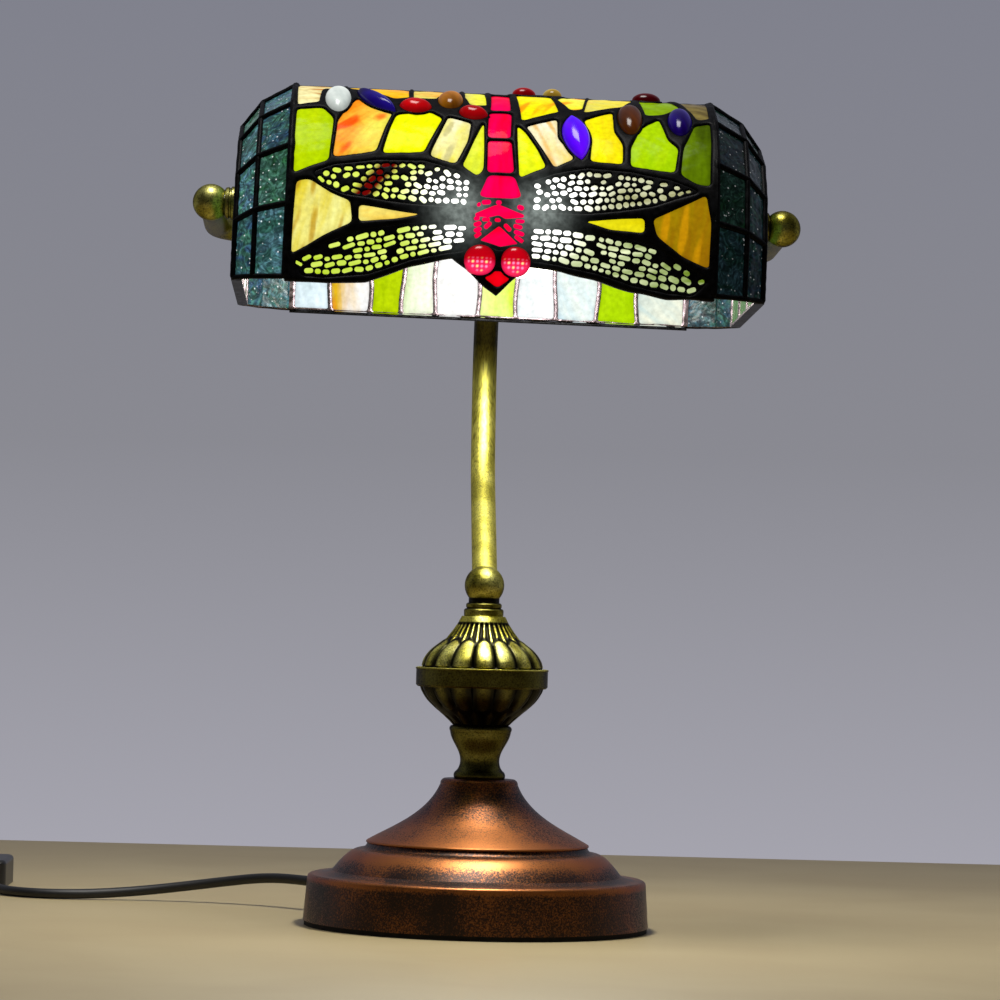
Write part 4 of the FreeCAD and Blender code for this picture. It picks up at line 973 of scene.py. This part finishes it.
def back_panel():
    """Three rows of ten strips and their solder."""
    outlines = back_outlines()
    for r, name in enumerate(("back_glass_lower", "back_glass_middle", "back_glass_upper")):
        piece = Piece()
        for outline, c, row in outlines:
            if row == r:
                look = BACK_LOOKS[(c + (0, 3, 7)[r]) % 10]
                field = pane_field(rounded(outline, STRIP_CORNER), 0.9, 1.6, 0.8)
                add_pane(piece, *field, look, 200 + 10 * r + c, ripple=0.18)
        piece.make(name + "_panes", [GLASS], name, "glass_white")
    x, y = grid((-X_FRONT, X_FRONT, HALF, 2 * HALF + 1), 0.6)
    windows = union(x, y, [rounded(o, STRIP_CORNER) for o, _, _ in outlines], polygon_distance)
    rim = 2 * HALF - 0.6 - y + 0.3 * wobble(x, y, 8, 12)
    sheet = np.minimum(np.minimum(X_FRONT + 0.4 - np.abs(x), y - HALF), rim)
    piece = Piece()
    add_solder(piece, x, y, np.minimum(sheet, -windows), np.minimum(rim, -windows), (0.15, 1.5, 1.0),
               (GLASS_T + 0.1, 1.3, 0.9), (0.1, 6, 9))
    piece.make("back_solder", [BLACK, TIN], "back_leading", "leading")


# ------ ends of the shade
def section(girth, k=1.0):
    """(y, z) in the shade's frame, on the section scaled by k about the middle of the rim."""
    g = min(girth, 2 * HALF - girth)
    if g <= SIDE:
        y, z = -SHADE_R, g
    else:
        a = (g - SIDE) / SHADE_R
        y, z = -SHADE_R * math.cos(a), SIDE + SHADE_R * math.sin(a)
    return (k * y if girth <= HALF else -k * y), k * z - DROP


GIRTHS = TILE_ROWS + [2 * HALF - g for g in reversed(TILE_ROWS)]
STATIONS = [(X_FRONT, 1.0), (X_MID, K_MID), (X_END, K_END)]


def end_corner(side, station, girth):
    """A corner of the tiles, in the shade's frame."""
    x, k = STATIONS[station]
    return np.array([side * x, *section(girth, k)])


def add_tile(piece, corners, seed, colours, bright, glint):
    """Hammered glass tile on four corners, its top bevelled and rippled."""
    n = 15
    a, b, c, d = corners
    normal = np.cross(b - a, d - a)
    normal /= np.linalg.norm(normal)
    if normal @ (sum(corners) / 4 - np.array([0, 0, -10.0])) < 0:
        normal = -normal
    s, t = np.meshgrid(np.linspace(0, 1, n), np.linspace(0, 1, n), indexing="ij")
    inset = 0.9
    wide, tall = np.linalg.norm(b - a), np.linalg.norm(d - a)
    s2, t2 = inset / wide + s * (1 - 2 * inset / wide), inset / tall + t * (1 - 2 * inset / tall)
    base = ((1 - s2) * (1 - t2))[..., None] * a + (s2 * (1 - t2))[..., None] * b
    base = base + (s2 * t2)[..., None] * c + ((1 - s2) * t2)[..., None] * d
    rim = np.minimum(np.minimum(s, 1 - s) * wide, np.minimum(t, 1 - t) * tall)
    hammered = 0.22 * wobble(s * wide, t * tall, 2.6, seed) * np.clip(rim, 0, 1)
    height = 0.3 * (1 - np.exp(-rim / 1.2)) + hammered
    top = base + height[..., None] * normal
    low = base - (GLASS_T - 0.6) * normal
    points = np.concatenate([top.reshape(-1, 3), low.reshape(-1, 3)])
    faces, count = [], n * n
    for i in range(n - 1):
        for j in range(n - 1):
            q = (i * n + j, (i + 1) * n + j, (i + 1) * n + j + 1, i * n + j + 1)
            faces += [q, tuple(v + count for v in reversed(q))]
    ring = [i * n for i in range(n)] + [(n - 1) * n + j for j in range(1, n)]
    ring += [i * n + n - 1 for i in range(n - 2, -1, -1)] + [j for j in range(n - 2, 0, -1)]
    faces += [(v, v + count, w + count, w) for v, w in zip(ring, ring[1:] + ring[:1])]
    if np.cross(b - a, d - a) @ normal < 0:
        faces = [tuple(reversed(f)) for f in faces]
    flow = np.stack([s * wide * 0.16, t * tall * 0.10, np.full(s.shape, seed * 3.7)], -1).reshape(-1, 3)
    flow = np.concatenate([flow, flow])
    # Painted shade on each tile towards the lead at its edge.
    rim_shade = np.concatenate([lead_shade_blend(rim.ravel(), 2.0)] * 2)
    first, second = (srgb(*c) * bright for c in colours)
    piece.add(in_row(*points.T), faces, col_a=first, col_b=second, flow=flow, edge=rim_shade, glint=glint)


def add_bead(points, faces, a, b, radius, sides=10):
    """Round bar from a to b with domed ends."""
    a, b = np.array(a, float), np.array(b, float)
    axis = (b - a) / np.linalg.norm(b - a)
    u = np.cross(axis, (0.3, 0.5, 0.8))
    u /= np.linalg.norm(u)
    w = np.cross(axis, u)
    profile = [(-radius * 0.92, 0.38), (-radius * 0.5, 0.85)]
    steps = max(2, int(np.linalg.norm(b - a) / 2.5))
    stations = [(a + axis * back, radius * k) for back, k in profile]
    for i in range(steps + 1):
        p = a + (b - a) * i / steps
        stations.append((p, radius * (1 + 0.05 * math.sin(p.sum() * 1.3))))
    stations += [(b - axis * back, radius * k) for back, k in reversed(profile)]
    first = len(points)
    for centre, r in stations:
        for k in range(sides):
            t = math.tau * k / sides
            points.append(centre + r * (u * math.cos(t) + w * math.sin(t)))
    for s in range(len(stations) - 1):
        for k in range(sides):
            i, j = first + s * sides + k, first + s * sides + (k + 1) % sides
            faces.append((i, j, j + sides, i + sides))
    faces.append(tuple(first + k for k in reversed(range(sides))))
    last = first + (len(stations) - 1) * sides
    faces.append(tuple(last + k for k in range(sides)))


# Two colours for each tile, taken in turn.
TILE_LOOKS = [((20, 38, 34), (30, 45, 50)), ((16, 34, 22), (28, 44, 40)),
              ((18, 30, 40), (22, 40, 34)), ((26, 48, 40), (28, 42, 50))]
# Painted light of the tiles by side, as (front, back), darkest on the right in the holder's shadow,
# and the radius of the solder at each station.
TILE_LIGHT = {-1: (0.76, 1.0), 1: (0.07, 0.6)}
STATION_BEADS = (1.9, 1.4, 1.6)


def shade_end(side):
    """Two columns of hammered tiles, the flat end and their solder."""
    name = "left" if side < 0 else "right"
    tiles = Piece()
    for column in (0, 1):
        for row, (ga, gb) in enumerate(zip(GIRTHS, GIRTHS[1:])):
            places = ((column, ga), (column, gb), (column + 1, gb), (column + 1, ga))
            corners = [end_corner(side, *place) for place in places]
            # Fewer painted glints on the right side's front tiles, in the holder's shadow.
            glint = 1.0 if side < 0 or row > 4 else 0.25
            add_tile(tiles, corners, 300 + 20 * column + row + (50 if side > 0 else 0),
                     TILE_LOOKS[(row + 2 * column) % 4], TILE_LIGHT[side][row > 4], glint)
    tiles.make("end_tiles_" + name + "_glass", [TILE_GLASS], "end_tiles_" + name, "glass_teal")

    points, faces = [], []
    feet = (GIRTHS[0], GIRTHS[-1])

    def bar(start, end, radius, foot_lift):
        """Bar between two (station, girth), lifted where it stands on the rim."""
        lifts = [np.array([0, 0, foot_lift if g in feet else 0.0]) for _, g in (start, end)]
        add_bead(points, faces, end_corner(side, *start) + lifts[0], end_corner(side, *end) + lifts[1], radius)

    for g in GIRTHS[1:-1] + list(feet):
        for k in (0, 1):
            bar((k, g), (k + 1, g), 1.3 if g in feet else 1.6, 1.2)
    for k, radius in enumerate(STATION_BEADS):
        for ga, gb in zip(GIRTHS, GIRTHS[1:]):
            bar((k, ga), (k, gb), radius, 1.9)
    points = np.array(points)
    centre = np.array([side * 60.0, 0, -14.0])
    slots = []
    for f in faces:
        outward = points[list(f)].mean(0) - centre
        normal = np.cross(points[f[1]] - points[f[0]], points[f[2]] - points[f[0]])
        slots.append(int(normal @ outward < -0.35 * np.linalg.norm(normal) * np.linalg.norm(outward)))
    lead = Piece()
    lead.add(in_row(*points.T), faces, slots)
    add_end_face(lead, side)
    lead.make("end_solder_" + name, [BLACK, TIN], "end_leading_" + name, "leading")


def on_end(side):
    """Placement on the flat end: (y, z) in its plane and height outwards."""
    return lambda y, z, lift: in_row(side * (X_END + lift), y, z)


def add_end_face(lead, side):
    """The flat end: three pale panes and the solder between and round them."""
    outline = [section(g, K_END) for g in GIRTHS]
    windows = [shrink(clip_between(outline, y0, y1), 1.8) for y0, y1 in ((-80, -20.5), (-19, 19), (20.5, 80))]
    x, y = grid((-62, 62, -46, 40), 0.6)
    boss, bore = 11.5 - np.hypot(x, y), 6.4 - np.hypot(x, y)
    openings = np.max([polygon_distance(x, y, rounded(w, END_CORNER)) for w in windows], axis=0)
    metal = np.maximum(-openings, boss)
    field = np.minimum(np.minimum(polygon_distance(x, y, outline), metal), -bore)
    add_solder(lead, x, y, field, metal, (0.1, 1.8, 0.9), (GLASS_T, 1.5, 0.8), place=on_end(side),
               flip=side < 0)
    glass = Piece()
    for i, w in enumerate(windows):
        shape = rounded(w, END_CORNER)
        x, y = grid(box_of(shape), 0.9, 1.6)
        field = np.minimum(polygon_distance(x, y, shape) + 0.8, np.hypot(x, y) - 10.5)
        # Painted light: the right end's panes are darker, in the holder's shadow.
        look = ((46, 66, 38), (62, 80, 56), 85, (0, 0.3), None, 0.55 if side < 0 else 0.4)
        add_pane(glass, x, y, field, look, 400 + i + 5 * side, place=on_end(side), flip=side < 0)
    name = "left" if side < 0 else "right"
    glass.make("end_panel_" + name + "_panes", [GLASS], "end_panel_" + name, "glass_pale_green")


def clip_between(outline, low, high):
    """The part of a convex outline between two values of its first coordinate."""
    for bound, sign in ((low, 1), (high, -1)):
        out = []
        for p, q in zip(outline, outline[1:] + outline[:1]):
            a, b = sign * (p[0] - bound), sign * (q[0] - bound)
            if a >= 0:
                out.append(p)
            if (a >= 0) != (b >= 0):
                t = a / (a - b)
                out.append((p[0] + t * (q[0] - p[0]), p[1] + t * (q[1] - p[1])))
        outline = out
    return outline


def shrink(outline, by):
    """A convex outline moved in by a distance."""
    centre = np.mean(outline, axis=0)
    lines = []
    for p, q in zip(outline, outline[1:] + outline[:1]):
        d = np.array(q, float) - np.array(p, float)
        n = np.array([-d[1], d[0]]) / max(np.linalg.norm(d), 1e-9)
        if n @ (centre - np.array(p)) < 0:
            n = -n
        lines.append((np.array(p) + n * by, d))
    out = []
    for (p, d), (q, e) in zip(lines[-1:] + lines[:-1], lines):
        cross = d[0] * e[1] - d[1] * e[0]
        t = ((q - p)[0] * e[1] - (q - p)[1] * e[0]) / cross
        out.append(tuple(p + t * d))
    return out

# ------ urn
def urn_half(name, profile, relief, node_name, material):
    """Cast shell: its profile of (r, z) turned about Z and pushed out by relief(angle, t)."""
    rs, zs = np.array(profile, float).T
    ts = np.linspace(0, 1, len(profile))
    t = np.linspace(0, 1, 72)
    r, z = smooth_interp(t, ts, rs), smooth_interp(t, ts, zs)
    around = LOBES * 22
    a = np.arange(around) * math.tau / around
    aa, tt = np.meshgrid(a, t, indexing="ij")
    out, hollow = relief(aa, tt)
    n, m = aa.shape
    zz = np.broadcast_to(z, aa.shape)
    skins = [np.stack([rr * np.cos(aa), rr * np.sin(aa), zz], -1).reshape(-1, 3)
             for rr in (r + out, r - URN_WALL)]
    faces = []
    for i in range(n):
        k = (i + 1) % n
        for j in range(m - 1):
            faces.append((i * m + j, k * m + j, k * m + j + 1, i * m + j + 1))
            faces.append(tuple(v + n * m for v in (i * m + j + 1, k * m + j + 1, k * m + j, i * m + j)))
        faces.append((k * m, i * m, i * m + n * m, k * m + n * m))
        faces.append((i * m + m - 1, k * m + m - 1, k * m + m - 1 + n * m, i * m + m - 1 + n * m))
    piece = Piece()
    # The inner skin gets full hollow: painted shade inside the shell.
    piece.add(np.concatenate(skins), faces, hollow=np.concatenate([hollow.ravel(), np.ones(n * m)]))
    piece.make(name, [material], node_name, "antique_brass", "stand", sharp=60)


def smooth_interp(t, ts, values):
    """Cubic through the values, with gentle slopes."""
    slopes = np.gradient(values, ts)
    i = np.clip(np.searchsorted(ts, t) - 1, 0, len(ts) - 2)
    h = ts[i + 1] - ts[i]
    s = (t - ts[i]) / h
    a, b = values[i], values[i + 1]
    return (a * (1 + 2 * s) * (1 - s) ** 2 + slopes[i] * h * s * (1 - s) ** 2
            + b * s * s * (3 - 2 * s) + slopes[i + 1] * h * s * s * (s - 1))


def lobe_phase(angle, count, shift=0.0):
    """Place across one lobe, from -1 to 1."""
    return 2 * ((angle * count / math.tau + shift) % 1.0) - 1


def upper_relief(a, t):
    """Tall petals below, narrow V-shaped gadroons above."""
    u = lobe_phase(a, LOBES, 0.5)
    arch = 0.62 - 0.09 * u * u
    petal = np.sqrt(np.clip(1 - np.abs(u) ** 2.2, 0, 1))
    low = np.clip((arch - t) / 0.05, 0, 1)
    v = lobe_phase(a, 2 * LOBES, 0.5)
    ridge = np.clip(1.25 - np.abs(v) * 1.7, 0, 1) ** 0.7
    high = np.clip((t - arch) / 0.06, 0, 1) * np.clip((0.90 - t) / 0.05, 0, 1)
    plain_top = np.clip((t - 0.88) / 0.04, 0, 1)
    foot = np.clip(t / 0.04, 0, 1)
    out = low * (1.9 * petal - 1.1) * foot + high * (1.5 * ridge - 1.2) + 0.2 * plain_top
    # hollow: patina and painted shade in the reliefs' hollows, between the two tiers and at the foot.
    hollow = low * (1 - petal) ** 0.6 + high * (1 - ridge) ** 0.8 + (1 - low) * (1 - high) * (1 - plain_top)
    return out, np.clip(hollow + (1 - foot), 0, 1)


def lower_relief(a, t):
    """Long flutes under the band with a row of small petal tips near the foot."""
    u = lobe_phase(a, LOBES, 0.5)
    arch = 0.36 + 0.10 * u * u
    petal = np.sqrt(np.clip(1 - np.abs(u) ** 2.6, 0, 1))
    high = np.clip((t - arch) / 0.06, 0, 1)
    v = lobe_phase(a, LOBES)
    tip = np.sqrt(np.clip(1 - np.abs(v) ** 2.0, 0, 1))
    low = np.clip((arch - 0.03 - t) / 0.05, 0, 1) * np.clip(t / 0.08, 0, 1)
    out = high * (1.5 * petal - 1.2) + low * (1.2 * tip - 1.1)
    hollow = high * (1 - petal) ** 0.6 + low * (1 - tip) ** 0.5 + (1 - high) * (1 - low)
    # Painted shade over the whole cup, which faces down, deepest in its hollows where patina also lies.
    return out, np.clip(0.25 + 0.75 * hollow, 0, 1)


def urn():
    z0, z1 = BAND_Z
    dome = [(29.8, z1), (28.4, 133.6), (24.9, 138.2), (18.8, 143.2), (14.2, 148.8), (10.6, URN_TOP_Z)]
    cup = [(13.8, VASE_TOP_Z), (16.5, 103.2), (21.8, 108.0), (26.8, 112.8), (29.6, 117.0), (30.6, z0)]
    urn_half("urn_dome", dome, upper_relief, "urn_upper", CAST_BRASS)
    urn_half("urn_cup", cup, lower_relief, "urn_lower", SHADED_CAST_BRASS)


# ------ cord
def flexible_cord():
    """One round mains lead through its switch, wound in two layers of turns, to its plug."""
    route = list(LEAD_ROUTE) + list(TAIL_ROUTE)
    per_turn = 14
    layers = [(90, 3.5, COIL_OUT, COIL_IN, LAYER_Z[0]), (270, 3.75, COIL_IN, COIL_OUT, LAYER_Z[1])]
    for start, turns, r0, r1, z in layers:
        steps = round(turns * per_turn)
        for i in range(1, steps + 1):
            t = i / steps
            a = math.radians(start) + math.tau * turns * t
            r = r0 + (r1 - r0) * t
            route.append((COIL_C[0] + r * math.cos(a), COIL_C[1] + r * math.sin(a), z))
    route = route[:-1] + list(PLUG_ROUTE)
    curve = bpy.data.curves.new("cord", "CURVE")
    curve.dimensions = "3D"
    spline = curve.splines.new("NURBS")
    spline.points.add(len(route) - 1)
    for point, p in zip(spline.points, route):
        point.co = (*(c * MM for c in p), 1)
    spline.order_u = 3
    spline.use_endpoint_u = True
    curve.resolution_u = 6
    curve.bevel_depth = CORD_D * MM / 2
    curve.bevel_resolution = 6
    curve.use_fill_caps = True
    curve.materials.append(CORD_PVC)
    cord = link("cord", curve)
    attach(cord, "stand")
    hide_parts("cord_lead", "cord_tail", "cord_end", "cord_coil")


# ------ carried-over parts
def dress():
    """A material of its own for every part whose shape comes from the frame."""
    steel = plain("zinc_steel", (62, 63, 64), 0.35, 1.0)
    plastic = plain("black_plastic", (5.5, 5.5, 6), 0.38, grain=700, amount=0.25)
    looks = {
        STEM_BRASS: ["stem_tube", "yoke_tube"],
        SHADED_BRASS: ["neck_vase"],
        BAND_BRASS: ["urn_band"],
        COLLAR_BRASS: ["stem_collar"],
        BRASS: ["stem_ball", "yoke_hub", "yoke_balls", "pivot_washers", "pivot_bushes"],
        NUT_BRASS: ["friction_nut_left", "friction_nut_right"],
        COPPER: ["base_shell"],
        plain("felt", (3, 3, 3.2), 0.95, grain=1500, amount=0.5): ["base_pad"],
        plain("cast_iron", (20, 19, 18), 0.7, 0.4, grain=260): ["base_weight"],
        steel: ["base_nut", "base_washer", "threaded_pipe", "pivot_nipples"],
        plain("holder_metal", (70, 66, 50), 0.3, 1.0): ["holder_cap"],
        plain("bakelite", (9, 7, 6), 0.3): ["holder_shell", "holder_contact_block"],
        plain("bulb_cap_metal", (78, 78, 76), 0.25, 1.0): ["bulb_cap"],
        plain("lit_bulb", (99, 98, 93), 0.3, emission=7.0, amount=0.02): ["bulb_glass"],
        plastic: ["cord_gland", "switch_base", "switch_cover", "switch_rocker", "plug_body"],
        plain("nickel", (80, 78, 72), 0.2, 1.0): ["plug_pins"],
        BLACK: ["back_rim_wire"],
    }
    for material, names in looks.items():
        for name in names:
            mesh = NODES[name].data
            mesh.materials.clear()
            mesh.materials.append(material)
    NODES["bulb_glass"].visible_shadow = False


# ------ stage
def stage():
    """Pale table that ends behind the lamp, grey surroundings, soft lights and the lit bulb."""
    w, y0, y1 = 1.9, -1.9, 0.62
    mesh = bpy.data.meshes.new("table")
    mesh.from_pydata([(-w, y0, 0), (w, y0, 0), (w, y1, 0), (-w, y1, 0), (-w, y0, -0.03), (w, y0, -0.03),
                      (w, y1, -0.03), (-w, y1, -0.03)], [],
                     [(0, 1, 2, 3), (7, 6, 5, 4), (0, 4, 5, 1), (1, 5, 6, 2), (2, 6, 7, 3), (3, 7, 4, 0)])
    s = Shader("pale_table")
    cloud = s.noise(9.0, 4.0, 0.6)
    s.put(Base_Color=s.ramp(cloud, (0.3, srgb(58, 52, 38.5)), (0.7, srgb(61, 55.5, 42))), Roughness=0.5)
    mesh.materials.append(s.material)
    link("table", mesh)

    world = bpy.data.worlds.new("grey_room")
    bpy.context.scene.world = world
    world.use_nodes = True
    s = Shader("grey_room", world.node_tree)
    tone = s.ramp(s.span(s.place("Z", "Generated"), -0.08, 0.16), (0.0, srgb(66.5, 66, 70)),
                  (0.5, srgb(54, 54, 57)), (1.0, srgb(50, 50.5, 55)))
    facing = s.span(s.place("Y", "Generated"), -0.2, 0.3)
    tone = s.mix("MIX", facing, srgb(16, 16, 17), tone)
    s.links.new(tone, s.nodes["Background"].inputs["Color"])

    def lamp(name, kind, at, energy, size, colour=(1, 1, 1), aim=None):
        data = bpy.data.lights.new(name, kind)
        data.energy, data.color = energy, colour
        if kind == "AREA":
            data.size = size
        else:
            data.shadow_soft_size = size
        obj = link(name, data)
        obj.location = at
        if aim:
            obj.rotation_euler = (Vector(aim) - Vector(at)).to_track_quat("-Z", "Y").to_euler()
        return obj

    lamp("room_top", "AREA", (-0.16, -0.36, 1.9), 25, 0.6, (1, 0.98, 0.95), (0, 0.05, 0.0))
    bulb = lamp("bulb_light", "POINT", tuple(in_row(8.0, 0.0, 0.0) * MM), 4.6, 0.026, (1.0, 0.98, 0.90))
    bulb.parent = frame["bodies"]["shade"]

    az, pitch, roll = math.radians(-2.1), math.radians(1.56), math.radians(1.55)
    forward = Vector((-math.sin(az) * math.cos(pitch), math.cos(az) * math.cos(pitch), math.sin(pitch)))
    right = Vector((math.cos(az), math.sin(az), 0))
    up = right.cross(forward)
    turned_right = right * math.cos(roll) + up * math.sin(roll)
    turned_up = up * math.cos(roll) - right * math.sin(roll)
    data = bpy.data.cameras.new("camera")
    data.lens, data.sensor_width = 144, 36
    camera = link("camera", data)
    spot = Vector((0.0066, 0, 0.2134)) - 2.0 * forward
    turn = Matrix((turned_right, turned_up, -forward)).transposed().to_4x4()
    camera.matrix_world = Matrix.Translation(spot) @ turn
    bpy.context.scene.camera = camera
    view = bpy.context.scene.view_settings
    view.view_transform = "Standard"
    view.look = "None"


# ------ everything
stage()
dress()
flexible_cord()
urn()
front_glass()
front_gems()
front_leading()
wings()
back_panel()
shade_end(-1)
shade_end(1)

bpy.context.view_layer.update()
